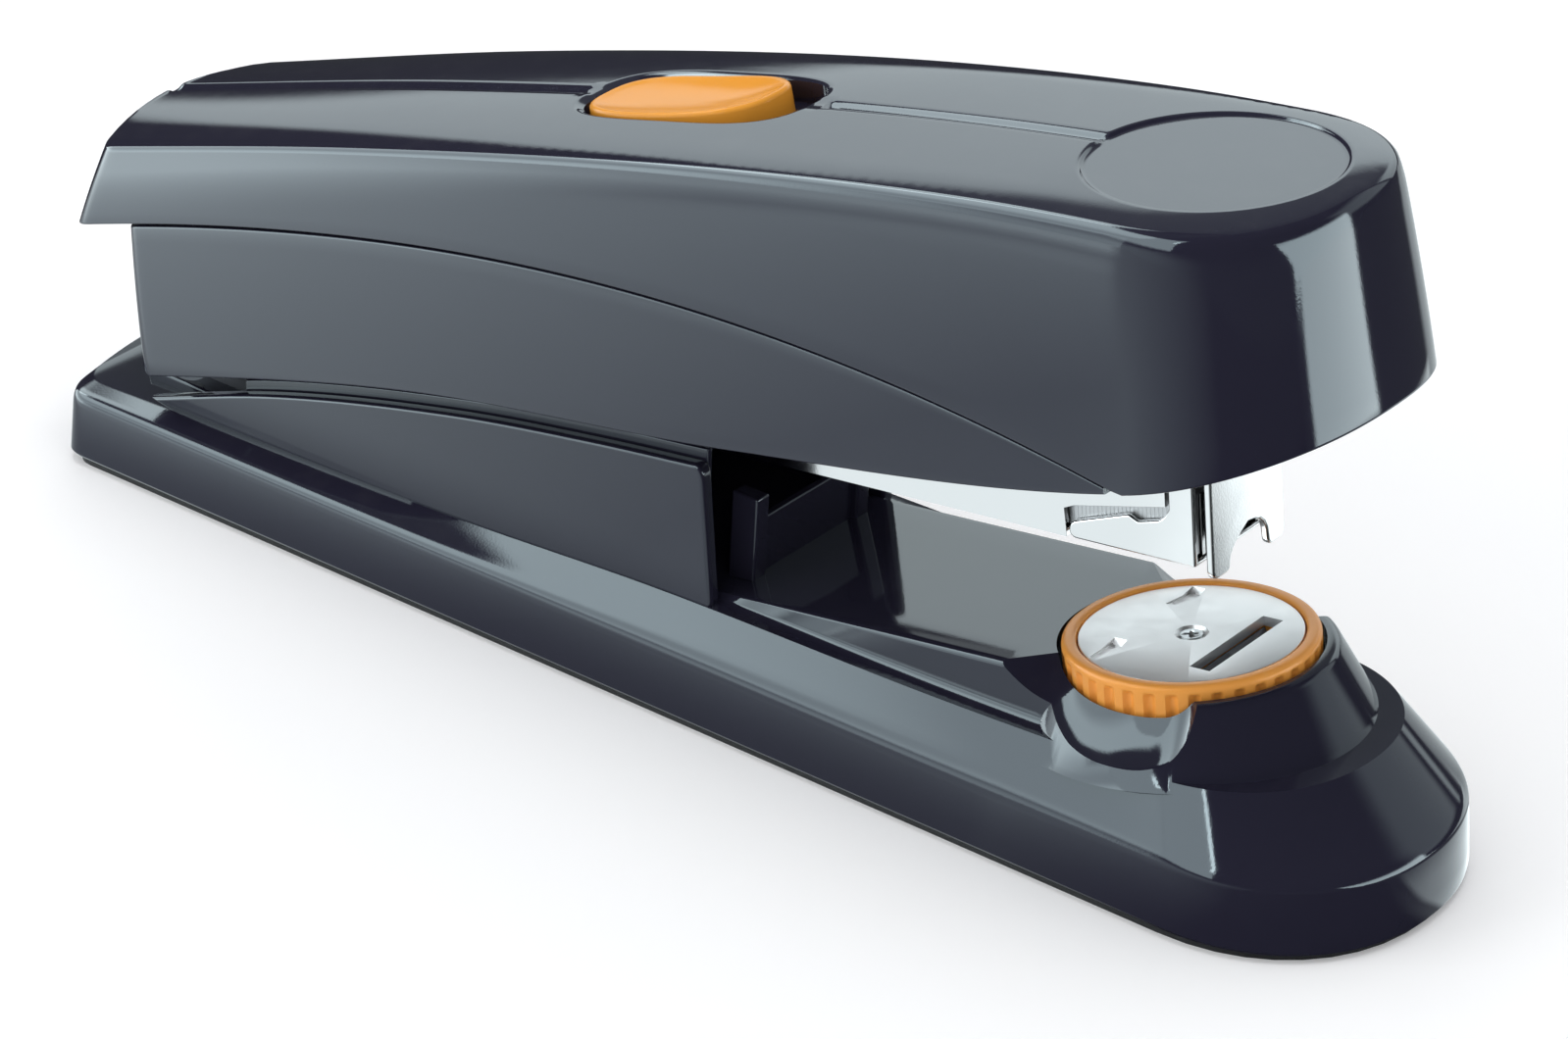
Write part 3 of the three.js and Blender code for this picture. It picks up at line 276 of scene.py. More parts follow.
def smooth_through(pairs):
    """A curve through (x, value) pairs; each point's slope is the mean of its neighbours'."""
    slopes = [(b[1] - a[1]) / (b[0] - a[0]) for a, b in zip(pairs, pairs[1:])]
    tangents = [slopes[0], *((a + b) / 2 for a, b in zip(slopes, slopes[1:])), slopes[-1]]

    def value(x):
        i = max(0, min(len(pairs) - 2, sum(x > pair[0] for pair in pairs) - 1))
        (x0, v0), (x1, v1) = pairs[i], pairs[i + 1]
        span = x1 - x0
        t = (x - x0) / span
        return (
            v0 * (1 + 2 * t) * (1 - t) ** 2 + v1 * t * t * (3 - 2 * t)
            + span * (tangents[i] * t * (1 - t) ** 2 + tangents[i + 1] * t * t * (t - 1)))
    return value


def made_piece(name, points, faces):
    """A mesh object from points in millimetres, welded, with its faces turned outwards."""
    mesh = bpy.data.meshes.new(name)
    mesh.from_pydata([(x * MM, y * MM, z * MM) for x, y, z in points], [], faces)
    shape = bmesh.new()
    shape.from_mesh(mesh)
    bmesh.ops.remove_doubles(shape, verts=shape.verts, dist=2e-6)
    bmesh.ops.dissolve_degenerate(shape, edges=shape.edges, dist=1e-6)
    bmesh.ops.recalc_face_normals(shape, faces=shape.faces)
    shape.to_mesh(mesh)
    shape.free()
    piece = bpy.data.objects.new(name, mesh)
    scene.collection.objects.link(piece)
    return piece


def settled(piece):
    """Turns what the modifiers make into the piece's plain mesh."""
    bpy.context.view_layer.update()
    shown = piece.evaluated_get(bpy.context.evaluated_depsgraph_get())
    mesh = bpy.data.meshes.new_from_object(shown)
    piece.modifiers.clear()
    piece.data = mesh
    return piece


def shaded(piece, degrees=35):
    piece.data.shade_smooth()
    piece.data.set_sharp_from_angle(angle=math.radians(degrees))
    return piece


def joined_or_cut(piece, tool, operation):
    step = piece.modifiers.new(operation, "BOOLEAN")
    step.operation = operation
    step.solver = "MANIFOLD"
    step.object = tool
    settled(piece)
    bpy.data.objects.remove(tool)
    return piece


def half_outline(rear, bow, corner, start, reach, power, half, counts=(10, 8, 90, 56)):
    """Half of a plan outline as (x, y): from the middle of the rear end, round its corner, along the side and
    round the nose to its tip."""
    middle, round_corner, straight, nose = counts
    side = half if callable(half) else (lambda x: half)
    at_rear = side(rear)
    points = []
    for i in range(middle):
        y = (at_rear - corner) * i / middle
        points.append((rear + bow * (y / at_rear) ** 2, y))
    first = (rear + bow * ((at_rear - corner) / at_rear) ** 2, at_rear - corner)
    last = (rear + bow + corner, side(rear + bow + corner))
    peak = (rear + bow, at_rear)
    for i in range(round_corner):
        t = i / round_corner
        points.append(tuple(
            a * (1 - t) ** 2 + 2 * b * t * (1 - t) + c * t * t for a, b, c in zip(first, peak, last)))
    for i in range(straight):
        x = last[0] + (start - last[0]) * i / straight
        points.append((x, side(x)))
    for i in range(nose + 1):
        angle = (1 - i / nose) * math.pi / 2
        points.append((
            start + reach * max(0.0, math.cos(angle)) ** (2 / power),
            side(start) * math.sin(angle) ** (2 / power) if i < nose else 0.0))
    return points


def rounded(before, peak, after, steps=6):
    """Points of the small curve that rounds off the corner at peak."""
    out = []
    for i in range(steps + 1):
        t = i / steps
        out.append(tuple(
            a * (1 - t) ** 2 + 2 * b * t * (1 - t) + c * t * t for a, b, c in zip(before, peak, after)))
    return out


def between(a, b, share):
    return tuple(p + (q - p) * share for p, q in zip(a, b))


def clamped(value):
    return max(0.0, min(1.0, value))


def eased(value):
    """A smooth step from 0 to 1."""
    share = clamped(value)
    return share * share * (3 - 2 * share)


def skinned_rows(columns, closed=True):
    """Points and faces over columns of equally many points; the far half mirrors the near half."""
    rows = len(columns[0])
    mirrored = [[(x, -y, z) for x, y, z in column] for column in reversed(columns[1:-1])] if closed else []
    loop = [*columns, *mirrored]
    points = [point for column in loop for point in column]
    faces = []
    for c in range(len(loop) if closed else len(loop) - 1):
        d = (c + 1) % len(loop)
        for r in range(rows - 1):
            faces.append((c * rows + r, d * rows + r, d * rows + r + 1, c * rows + r + 1))
    return points, faces


def tube(name, sections):
    """A solid through a row of equal cross-sections, closed along its last edge and at both ends."""
    points, faces = skinned_rows(sections, closed=False)
    size, last = len(sections[0]), len(points) - 1
    faces += [(c, c + size, c + 2 * size - 1, c + size - 1) for c in range(0, last - size, size)]
    faces += [tuple(range(size)), tuple(range(last, last - size, -1))]
    return made_piece(name, points, faces)


def rungs(count, rows, row):
    """Faces that close a mirrored loop at one row, from each point to its mirror image."""
    at = lambda c: (c % (2 * count - 2)) * rows + row
    faces = [(at(0), at(1), at(-1))]
    faces += [(at(c), at(c + 1), at(-c - 1), at(-c)) for c in range(1, count - 2)]
    return [*faces, (at(count - 2), at(count - 1), at(-count + 2))]


base_rear, base_bow, base_corner = -154.6, 2.5, 3
foot_half, shoulder_half, wing_half = 23, 22.35, 18
foot_height, shoulder_height = 1, 9.2
deck_slope = math.tan(math.radians(9.03))
anvil_height = 23.98
band_top = smooth_through([
    (-152, 9.9), (-125, 10.6), (-94, 11.6), (-62, 13.7), (-22, 14.9), (2, 16.2), (26, 17.8)])


def deck_top(x):
    return anvil_height - 0.45 + deck_slope * x


def base_line(half, inset):
    start, reach, power = 12.9 - inset * 0.55, 21.8 - inset * 0.45, 2.14
    return half_outline(base_rear, base_bow, base_corner, start, reach, power, half)


tray = []
lines = base_line(foot_half, 0), base_line(shoulder_half, 0.8), base_line(wing_half + 0.2, 9.4)
for foot, shoulder, top in zip(*lines):
    foot = (*foot, foot_height)
    shoulder = (*shoulder, shoulder_height)
    top = (*top, band_top(top[0]))
    column = [(foot[0] * 0.998, foot[1] * 0.985, foot_height), between(foot, shoulder, 0.05)]
    column += [between(foot, shoulder, share) for share in (0.3, 0.6)]
    crisp = clamped((foot[0] + 10) / 25)
    below, above = between(foot, shoulder, 0.82 + 0.1 * crisp), between(shoulder, top, 0.26 - 0.13 * crisp)
    column += rounded(below, shoulder, above, 8)
    column += [between(shoulder, top, share) for share in (0.4, 0.6, 0.8, 1)]
    tray.append(column)
points, faces = skinned_rows(tray)
rows = len(tray[0])
faces += rungs(len(tray), rows, 0) + rungs(len(tray), rows, rows - 1)
base_shell = made_piece("base_moulding", points, faces)

deck = []
for i in range(41):
    x = -80 + 72 * i / 40
    low, high = band_top(x), max(deck_top(x), band_top(x) - 2)
    side, edge = (x, 16.0, low + 0.1), (x, 15.3, high)
    column = [(x, wing_half, low - 2.5), (x, wing_half, low - 0.1)]
    column += rounded((x, 17.2, low), side, between(side, edge, 0.3))
    column += rounded(between(side, edge, 0.85), edge, (x, 14.3, high)) + [(x, y, high) for y in (10, 5, 0)]
    deck.append(column + [(x, -y, z) for x, y, z in reversed(column[:-1])])
joined_or_cut(base_shell, tube("deck", deck), "UNION")


def turned_piece(name, profile, steps=160, place=None, reach=lambda r, z, angle: r):
    """A closed profile of (radius, height) pairs turned about Z and put in place. Reach may vary the radius."""
    points, faces = [], []
    for i in range(steps):
        angle = 2 * math.pi * i / steps
        for r, z in profile:
            r = reach(r, z, angle)
            points.append((r * math.cos(angle), r * math.sin(angle), z))
    size = len(profile)
    for i in range(steps):
        for j in range(size):
            a, b = i * size, (i + 1) % steps * size
            if profile[j][0] or profile[(j + 1) % size][0]:
                faces.append((a + j, b + j, b + (j + 1) % size, a + (j + 1) % size))
    piece = made_piece(name, points, faces)
    if place is not None:
        piece.data.transform(place)
    return piece


anvil_place = Matrix.Translation((0, 0, anvil_height * MM)) @ Matrix.Rotation(-math.atan(deck_slope), 4, "Y")
pocket_radius, collar_top, collar_foot = 15.25, -1.3, -9.9
lip = pocket_radius + 1.3
collar = [(0, collar_foot), (20.9, collar_foot), (20.35, -9.2)]
collar += [*rounded((16.95, -2.1), (lip, collar_top), (lip - 0.7, collar_top), 4), (0, collar_top)]
joined_or_cut(base_shell, turned_piece("collar", collar, place=anvil_place), "UNION")

inner_drop = smooth_through([
    (52, 0.6), (55, 1), (57, 1.4), (60, 2), (65, 2.6), (72, 2.8), (87, 2.8), (104, 2.6), (119, 2.2),
    (126, 1.7), (131, 1.2), (136, 0.5)])
outer_drop = smooth_through([
    (52, 0.6), (54, 1.8), (56, 4.0), (59, 5.8), (64, 7.3), (72, 8.1), (87, 8.2), (96, 7.9), (104, 7.3),
    (112, 6.2), (119, 4.9), (126, 3.5), (131, 2.2), (136, 0.5)])
for side in (1, -1):
    sections = []
    for i in range(61):
        degrees = 52 + 84 * i / 60
        low, far = inner_drop(degrees), outer_drop(degrees)
        section = []
        for j in range(9):
            share = j / 8
            dip = 0.16 * (far - low) * 4 * share * (1 - share)
            section.append((14.85 + 5.75 * share, -(low + (far - low) * share) - dip))
        section += [(30, -far * 1.35), (30, 5), (14.85, 5)]
        angle = math.radians(degrees)
        sections.append([(r * math.cos(angle), side * r * math.sin(angle), z) for r, z in section])
    scoop = tube("scoop", sections)
    scoop.data.transform(anvil_place)
    joined_or_cut(base_shell, scoop, "DIFFERENCE")


for name, radius, low, high, steps in (("pocket", pocket_radius, -5.2, 8, 160), ("bore", 1.9, -12, -4, 48)):
    profile = [(0, low), (radius, low), (radius, high), (0, high)]
    joined_or_cut(base_shell, turned_piece(name, profile, steps, anvil_place), "DIFFERENCE")


def prism(name, lower, upper):
    """A solid between two outlines of equally many points."""
    size = len(lower)
    faces = [tuple(range(size)), tuple(range(2 * size - 1, size - 1, -1))]
    faces += [(i, (i + 1) % size, size + (i + 1) % size, size + i) for i in range(size)]
    return made_piece(name, [*lower, *upper], faces)


def side_prism(name, outline, low, high, edge):
    """An (x, z) outline carried across the width between two y, with its edges rounded by edge."""
    return soften(prism(name, [(x, low, z) for x, z in outline], [(x, high, z) for x, z in outline]), edge)


def soften(piece, width, steps=3, degrees=30):
    """Rounds a piece's edges and keeps its flat faces flat in the light."""
    step = piece.modifiers.new("edges", "BEVEL")
    step.width = width * MM
    step.segments = steps
    step.limit_method = "ANGLE"
    step.angle_limit = math.radians(degrees)
    step.use_clamp_overlap = True
    settled(piece)
    piece.data.shade_smooth()
    step = piece.modifiers.new("normals", "WEIGHTED_NORMAL")
    step.keep_sharp = False
    settled(piece)
    return piece


wing_top = smooth_through([(-143, 9.8), (-122.5, 17.4), (-94, 25.1), (-73, 29.2), (-56.4, 31.9)])
stations = [-143 + 85.2 * i / 30 for i in range(31)]
wing_line = [(-143, 6)] + [(x, wing_top(x)) for x in stations]
wing_line += rounded((-57.8, 31.75), (-56.4, 31.9), (-56.25, 30.1), 5)[1:] + [(-54.4, 14.5), (-54.4, 9)]
stations = [-128 + 71 * i / 20 for i in range(21)]
tongue_line = [(-128, 8)] + [(x, wing_top(x) + 1.4) for x in stations] + [(-56.4, 9)]
foot = band_top(-54) - 1
pieces_of_base = []
for side in (1, -1):
    lows, highs = sorted((side * 16.0, side * 18.0)), sorted((side * 15.2, side * 16.1))
    pieces_of_base.append(side_prism("wing", wing_line, *lows, edge=0.5))
    pieces_of_base.append(side_prism("inner_strip", tongue_line, *highs, edge=0.25))
    post = [(-57, foot), (-57, 25.8), (-53.2, 25.8), (-53.2, foot)]
    pieces_of_base.append(side_prism("post", post, *sorted((side * 8.8, side * 11.2)), edge=0.3))
cross_line = [(-55, foot), (-55, 22.2), (-54, 22.2), (-54, foot)]
pieces_of_base.append(side_prism("cross_wall", cross_line, -11, 11, edge=0.2))
pad_line = [(-146, 8), (-146, 11.5), (-118, 11.5), (-118, 8)]
pieces_of_base.append(side_prism("bracket_pad", pad_line, -14, 14, edge=0.4))
shaded(base_shell, 28)


def assembled(name, pieces):
    """One object from several, each with its own shading kept."""
    shape = bmesh.new()
    for piece in pieces:
        shape.from_mesh(piece.data)
    mesh = bpy.data.meshes.new(name)
    shape.to_mesh(mesh)
    shape.free()
    for piece in pieces:
        bpy.data.objects.remove(piece)
    whole = bpy.data.objects.new(name, mesh)
    scene.collection.objects.link(whole)
    return whole

base_shell = assembled("base_moulding", [base_shell, *pieces_of_base])


def shader_group(name, inputs, *results):
    """A shader group with its inputs' defaults, where a tuple is a colour."""
    group = bpy.data.node_groups.new(name, "ShaderNodeTree")

    def socket(label, way, is_color):
        kind = "NodeSocketColor" if is_color else "NodeSocketFloat"
        return group.interface.new_socket(label, in_out=way, socket_type=kind)
    for label, default in inputs.items():
        socket(label, "INPUT", isinstance(default, tuple)).default_value = default
    for label in results:
        socket(label, "OUTPUT", label == "Color")
    return group, node_in(group, "NodeGroupInput").outputs, node_in(group, "NodeGroupOutput")


def surface_grain():
    """The fine orange-peel of a moulded or plated skin, as a height and a roughness."""
    group, given, out = shader_group(
        "surface_grain", {"Scale": 900.0, "Fine Scale": 5000.0, "Base Roughness": 0.15, "Spread": 0.05},
        "Height", "Roughness")
    where = node_in(group, "ShaderNodeTexCoord").outputs["Object"]
    broad = made(group, "ShaderNodeTexNoise", Vector=where, Scale=given["Scale"], Detail=2.0)
    fine = made(group, "ShaderNodeTexNoise", Vector=where, Scale=given["Fine Scale"], Detail=1.0)
    mixed = total(group, product(group, broad.outputs[0], 0.5), fine.outputs[0])
    spread = product(group, math_node(group, "SUBTRACT", broad.outputs[0], 0.5), given["Spread"])
    rough = total(group, given["Base Roughness"], product(group, spread, 2.0))
    plug(group, out, Height=mixed, Roughness=rough)
    return group


def handling_wear():
    """Lighter, duller skin where edges rub, and thin dust on what faces up."""
    group, given, out = shader_group(
        "handling_wear", {
            "Color": (0.5, 0.5, 0.5, 1), "Worn Color": (0.6, 0.6, 0.6, 1), "Roughness": 0.3, "Wear": 0.3,
            "Dust": 0.05},
        "Color", "Roughness")
    geometry = node_in(group, "ShaderNodeNewGeometry")
    where = node_in(group, "ShaderNodeTexCoord").outputs["Object"]
    patches = made(group, "ShaderNodeTexNoise", Vector=where, Scale=260.0, Detail=4.0).outputs[0]
    edge = ramp_between(group, geometry.outputs["Pointiness"], 0.52, 0.62)
    edge = product(group, edge, product(group, patches, given["Wear"]))
    facing = made(group, "ShaderNodeSeparateXYZ", Vector=geometry.outputs["Normal"]).outputs["Z"]
    specks = ramp_between(group, patches, 0.45, 0.8)
    dust = product(group, ramp_between(group, facing, 0.6, 1.0), given["Dust"])
    dust = product(group, dust, specks)
    worn = blend_color(group, edge, given["Color"], given["Worn Color"])
    dusty = blend_color(group, dust, worn, (0.55, 0.54, 0.52, 1))
    rough = total(group, given["Roughness"], product(group, edge, 0.2))
    rough = total(group, rough, dust)
    plug(group, out, Color=dusty, Roughness=rough)
    return group


grain_group, wear_group = surface_grain(), handling_wear()


def finish_of(name, color, roughness, metallic=0.0, spread=0.04, worn=None, wear=0.2, dust=0.03, bump=0.02,
              tint=0.06, scales=(420.0, 3600.0), specular=0.5, sheen_tint=None):
    """A Principled material with its own grain, wear, dust and a slight drift of colour."""
    material = bpy.data.materials.new(name)
    material.use_nodes = True
    tree = material.node_tree
    bsdf = tree.nodes["Principled BSDF"]
    where = node_in(tree, "ShaderNodeTexCoord").outputs["Object"]
    drift = made(tree, "ShaderNodeTexNoise", Vector=where, Scale=45.0, Detail=3.0).outputs[0]
    deep = tuple(channel * (1 - tint) for channel in color)
    pale = tuple(min(1.0, channel * (1 + tint)) for channel in color)
    base = blend_color(tree, drift, (*deep, 1), (*pale, 1))
    grain = node_in(tree, "ShaderNodeGroup", node_tree=grain_group)
    plug(tree, grain, Scale=scales[0], Fine_Scale=scales[1], Base_Roughness=roughness, Spread=spread)
    rub = node_in(tree, "ShaderNodeGroup", node_tree=wear_group)
    worn = worn or tuple(min(1.0, channel * 1.6 + 0.02) for channel in color)
    rough = grain.outputs["Roughness"]
    plug(tree, rub, Color=base, Worn_Color=(*worn, 1), Roughness=rough, Wear=wear, Dust=dust)
    height = made(tree, "ShaderNodeBump", Strength=bump, Distance=0.0002, Height=grain.outputs["Height"])
    plug(tree, bsdf, Base_Color=rub.outputs["Color"], Roughness=rub.outputs["Roughness"])
    plug(tree, bsdf, Normal=height.outputs[0], Metallic=metallic, Specular_IOR_Level=specular)
    if sheen_tint:
        plug(tree, bsdf, Specular_Tint=(*sheen_tint, 1))
    return material


gloss_black = finish_of(
    "gloss_black_abs", (0.0195, 0.0185, 0.0335), 0.06, spread=0.02, wear=0.12, dust=0.012, bump=0.012,
    sheen_tint=(0.88, 0.97, 1.0))


def fitted(piece, material, body, slot, *nodes):
    piece.data.materials.clear()
    piece.data.materials.append(material)
    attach(piece, body)
    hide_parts(*nodes)
    return piece


fitted(base_shell, gloss_black, "base", "shell_black", "base_shell")

# ---------- bottom plate, sole and screws ----------
# A zinc-plated steel plate closes the base from below, held by four countersunk screws, and a ribbed
# rubber sole glued over it keeps the stapler from sliding.
zinc = finish_of(
    "zinc_plated_steel", (0.56, 0.57, 0.58), 0.3, metallic=1.0, spread=0.12, bump=0.03, tint=0.08)
sole_rubber = finish_of(
    "sole_rubber", (0.02, 0.02, 0.021), 0.75, spread=0.1, bump=0.25, dust=0.12, scales=(900.0, 5200.0))


def dressed(node, material):
    """Gives a carried-over CAD piece its finish."""
    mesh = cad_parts[node].data
    mesh.materials.clear()
    mesh.materials.append(material)


for node in ("bottom_plate", "bottom_screw_1", "bottom_screw_2", "bottom_screw_3", "bottom_screw_4"):
    dressed(node, zinc)
dressed("rubber_sole", sole_rubber)

# ---------- hinge bracket and pivot pin ----------
# Folded from 1.4 mm steel sheet and screwed to the base, the bracket's two ears carry the pin on which the
# magazine arm and the handle both swing. The pin is a ground steel rod, riveted over.
pressed_steel = finish_of(
    "pressed_steel", (0.62, 0.63, 0.65), 0.26, metallic=1.0, spread=0.14, bump=0.04, tint=0.05)


def edged_copy(node, width, material, body, slot, name=None):
    """A CAD piece with its edges broken, as a pressed or moulded part has them."""
    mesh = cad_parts[node].data.copy()
    shape = bmesh.new()
    shape.from_mesh(mesh)
    bmesh.ops.remove_doubles(shape, verts=shape.verts, dist=2e-6)
    bmesh.ops.dissolve_limit(shape, angle_limit=math.radians(1), verts=shape.verts, edges=shape.edges)
    shape.to_mesh(mesh)
    shape.free()
    piece = bpy.data.objects.new(name or f"{node}_edged", mesh)
    scene.collection.objects.link(piece)
    soften(piece, width)
    return fitted(piece, material, body, slot, node)


# A dark steel finish, far darker than the other steel parts. The hinge bracket in the gap under the handle's
# rear and the clinch former down in the anvil's slot wear it.
dark_steel = finish_of("dark_steel_finish", (0.09, 0.09, 0.1), 0.42, metallic=1.0, spread=0.12, bump=0.04)
edged_copy("hinge_bracket", 0.2, dark_steel, "base", "steel")
edged_copy("pivot_pin", 0.3, pressed_steel, "base", "steel")


def geometry_tree(name, **sizes):
    """A Geometry Nodes tree with a mesh, sizes and a material in and a mesh out."""
    tree = bpy.data.node_groups.new(name, "GeometryNodeTree")
    tree.interface.new_socket("Geometry", in_out="INPUT", socket_type="NodeSocketGeometry")
    for label, default in sizes.items():
        kind = "NodeSocketInt" if isinstance(default, int) else "NodeSocketFloat"
        socket = tree.interface.new_socket(label.replace("_", " "), in_out="INPUT", socket_type=kind)
        socket.default_value = default
    tree.interface.new_socket("Material", in_out="INPUT", socket_type="NodeSocketMaterial")
    tree.interface.new_socket("Geometry", in_out="OUTPUT", socket_type="NodeSocketGeometry")
    return tree, node_in(tree, "NodeGroupInput").outputs, node_in(tree, "NodeGroupOutput")


def grown(name, tree, points, values):
    """The mesh that a tree grows on the given points (metres), as a plain piece."""
    mesh = bpy.data.meshes.new(name)
    mesh.from_pydata(points, [], [])
    piece = bpy.data.objects.new(name, mesh)
    scene.collection.objects.link(piece)
    step = piece.modifiers.new("grow", "NODES")
    step.node_group = tree
    names = {item.name: item.identifier for item in tree.interface.items_tree if item.in_out == "INPUT"}
    for label, value in values.items():
        step[names[label]] = value
    settled(piece)
    return piece


def finish_tree(tree, out, mesh, material):
    """Ends a tree in Realize Instances and Set Material."""
    real = made(tree, "GeometryNodeRealizeInstances", Geometry=mesh)
    smooth = made(tree, "GeometryNodeSetShadeSmooth", Geometry=real.outputs[0])
    painted = made(tree, "GeometryNodeSetMaterial", Geometry=smooth.outputs[0], Material=material)
    plug(tree, out, Geometry=painted.outputs[0])


def screw_heads():
    """Round heads with a cross recess, one on each point, standing on the point along Z."""
    tree, given, out = geometry_tree(
        "cross_screw_heads", Head_Radius=0.0025, Head_Height=0.0012, Recess_Width=0.0008, Recess_Length=0.0026,
        Recess_Depth=0.0008)
    radius, height = given["Head Radius"], given["Head Height"]
    half = product(tree, height, 0.5)
    lift_half = vector(tree, Z=half)
    body = made(tree, "GeometryNodeMeshCylinder", Vertices=40, Radius=radius, Depth=height).outputs[0]
    body = made(tree, "GeometryNodeTransform", Geometry=body, Translation=lift_half).outputs[0]
    deep = product(tree, given["Recess Depth"], 2.0)
    wide = vector(tree, X=given["Recess Length"], Y=given["Recess Width"], Z=deep)
    tall = vector(tree, X=given["Recess Width"], Y=given["Recess Length"], Z=deep)
    top = vector(tree, Z=height)
    for size in (wide, tall):
        bar = made(tree, "GeometryNodeMeshCube", Size=size).outputs[0]
        bar = made(tree, "GeometryNodeTransform", Geometry=bar, Translation=top).outputs[0]
        cut = node_in(tree, "GeometryNodeMeshBoolean", operation="DIFFERENCE")
        plug(tree, cut, i0=body, i1=bar)
        body = cut.outputs[0]
    heads = made(tree, "GeometryNodeInstanceOnPoints", Points=given["Geometry"], Instance=body)
    finish_tree(tree, out, heads.outputs[0], given["Material"])
    return tree


screw_tree = screw_heads()
heads = []
for node in ("bracket_screw_1", "bracket_screw_2"):
    low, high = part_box(node)
    heads.append(((low.x + high.x) / 2, (low.y + high.y) / 2, low.z))
bracket_screws = grown("bracket_screw_heads", screw_tree, heads, {
    "Head Radius": 0.0026, "Head Height": 0.0015, "Recess Width": 0.0007, "Recess Length": 0.0028,
    "Material": zinc})
shaded(bracket_screws)
soften(bracket_screws, 0.12, 2)
fitted(bracket_screws, zinc, "base", "steel", "bracket_screw_1", "bracket_screw_2")

# ---------- springs ----------
# Three springs of hard-drawn wire: one lifts the arm off the base, one lifts the handle off the arm, and a
# long soft one pushes the staples forward along the rail. Each is a plain open coil.
spring_wire = finish_of("spring_wire", (0.48, 0.49, 0.5), 0.3, metallic=1.0, spread=0.1, bump=0.03)


def coil_springs():
    """A round-wire coil about Z that stands on each point."""
    tree, given, out = geometry_tree(
        "coil_spring", Turns=6.0, Coil_Radius=0.004, Height=0.02, Wire_Radius=0.0005)
    spiral = made(
        tree, "GeometryNodeCurveSpiral", Resolution=28, Rotations=given["Turns"],
        Start_Radius=given["Coil Radius"], End_Radius=given["Coil Radius"], Height=given["Height"])
    wire = made(tree, "GeometryNodeCurvePrimitiveCircle", Resolution=10, Radius=given["Wire Radius"])
    swept = made(tree, "GeometryNodeCurveToMesh", Curve=spiral.outputs[0], Profile_Curve=wire.outputs[0])
    swept.inputs["Fill Caps"].default_value = True
    stood = made(tree, "GeometryNodeInstanceOnPoints", Points=given["Geometry"], Instance=swept.outputs[0])
    finish_tree(tree, out, stood.outputs[0], given["Material"])
    return tree


spring_tree = coil_springs()
pivot, arm_tilt = Vector((-0.136, 0, 0.021)), math.radians(8)
rail_spring_radius, spring_tail = 0.0019, 0.0022
for node, body, wire, turns, along, joint, limit in (
        ("arm_lift_spring", "base", 0.0005, 5.0, False, "arm_hinge", 4.2),
        ("handle_spring", "magazine_arm", 0.0007, 7.0, False, "handle_press", 3.6),
        ("follower_spring", "staple_drawer", 0.0003, 14.0, True, "follower_slide", 0.024)):
    low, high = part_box(node)
    middle = (low + high) / 2
    if along:
        length = (high.x - low.x - 2 * spring_tail * math.sin(arm_tilt)) / math.cos(arm_tilt)
        radius, travel = rail_spring_radius, limit
    else:
        length = high.z - low.z
        radius, travel = (high.x - low.x) / 2 - wire, math.radians(limit) * (middle.x - pivot.x)
    spring = grown(node + "_coil", spring_tree, [(0, 0, 0)], {
        "Turns": turns, "Coil Radius": radius, "Height": length - 2 * wire, "Wire Radius": wire,
        "Material": spring_wire})
    centre = Matrix.Translation((0, 0, -length / 2 + wire))
    lay_down = Matrix.Rotation(math.pi / 2 - arm_tilt, 4, "Y") if along else Matrix.Identity(4)
    spring.data.transform(Matrix.Translation(middle) @ lay_down @ centre)
    fitted(spring, spring_wire, body, "steel", node)
    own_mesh(spring)

# ---------- anvil wheel ----------
# The wheel is moulded in orange ABS with a fluted rim, so that a finger in the scoop can turn it from
# clinching to pinning. A satin plated steel plate with the clinching slot is pressed into its top.
orange_abs = finish_of("orange_abs", (0.98, 0.4, 0.075), 0.3, spread=0.05, worn=(0.95, 0.55, 0.2), wear=0.25,
                       bump=0.03, tint=0.04, specular=0.3)
bright_chrome = finish_of("bright_chrome", (0.78, 0.77, 0.77), 0.12, metallic=1.0, spread=0.05, bump=0.015,
                          tint=0.02, worn=(0.8, 0.8, 0.82), dust=0.01)
wheel_radius, lobes, lobe_depth = 14.75, 36, 0.55
wheel_profile = [(1.75, -5.0), (1.75, -1.25), (13.0, -1.25), (13.03, -0.1), (13.1, 0.08), (13.25, 0.18)]
wheel_profile += [(13.6, 0.22), (14.05, 0.2), *rounded((14.2, 0.18), (14.68, 0.1), (wheel_radius, -0.5), 4)]
wheel_profile += [(wheel_radius, z) for z in (-0.75, -0.95, -1.15, -1.4, -2.0, -3.0, -4.0, -4.5)]
wheel_profile += [(14.6, -4.85), (14.3, -5.0)]


def fluted(r, z, angle):
    """The rim's flutes, which fade in below its top."""
    if r <= 14.5:
        return r
    return r - lobe_depth * max(0.0, -math.cos(lobes * angle)) ** 0.6 * eased((-z - 0.65) / 0.55)


def upright_prism(name, outline, low, high):
    return prism(name, [(x, y, low) for x, y in outline], [(x, y, high) for x, y in outline])


wheel = turned_piece("fluted_wheel", wheel_profile, lobes * 14, anvil_place, fluted)
window_line = [(4.0, -8), (8.2, -8), (8.2, 8), (4.0, 8)]
opening = upright_prism("window", window_line, -9, 3)
opening.data.transform(anvil_place)
joined_or_cut(wheel, opening, "DIFFERENCE")
shaded(wheel, 40)
fitted(wheel, orange_abs, "anvil_turntable", "orange", "anvil_wheel")

plate_profile = [(0, -1.2), (12.83, -1.2), (12.83, -0.14), (12.79, -0.04), (12.69, 0), (0, 0)]
plate = turned_piece("anvil_disc", plate_profile, 180)
slot_line = [(4.75, -7.5), (7.45, -7.5), (7.45, 7.5), (4.75, 7.5)]

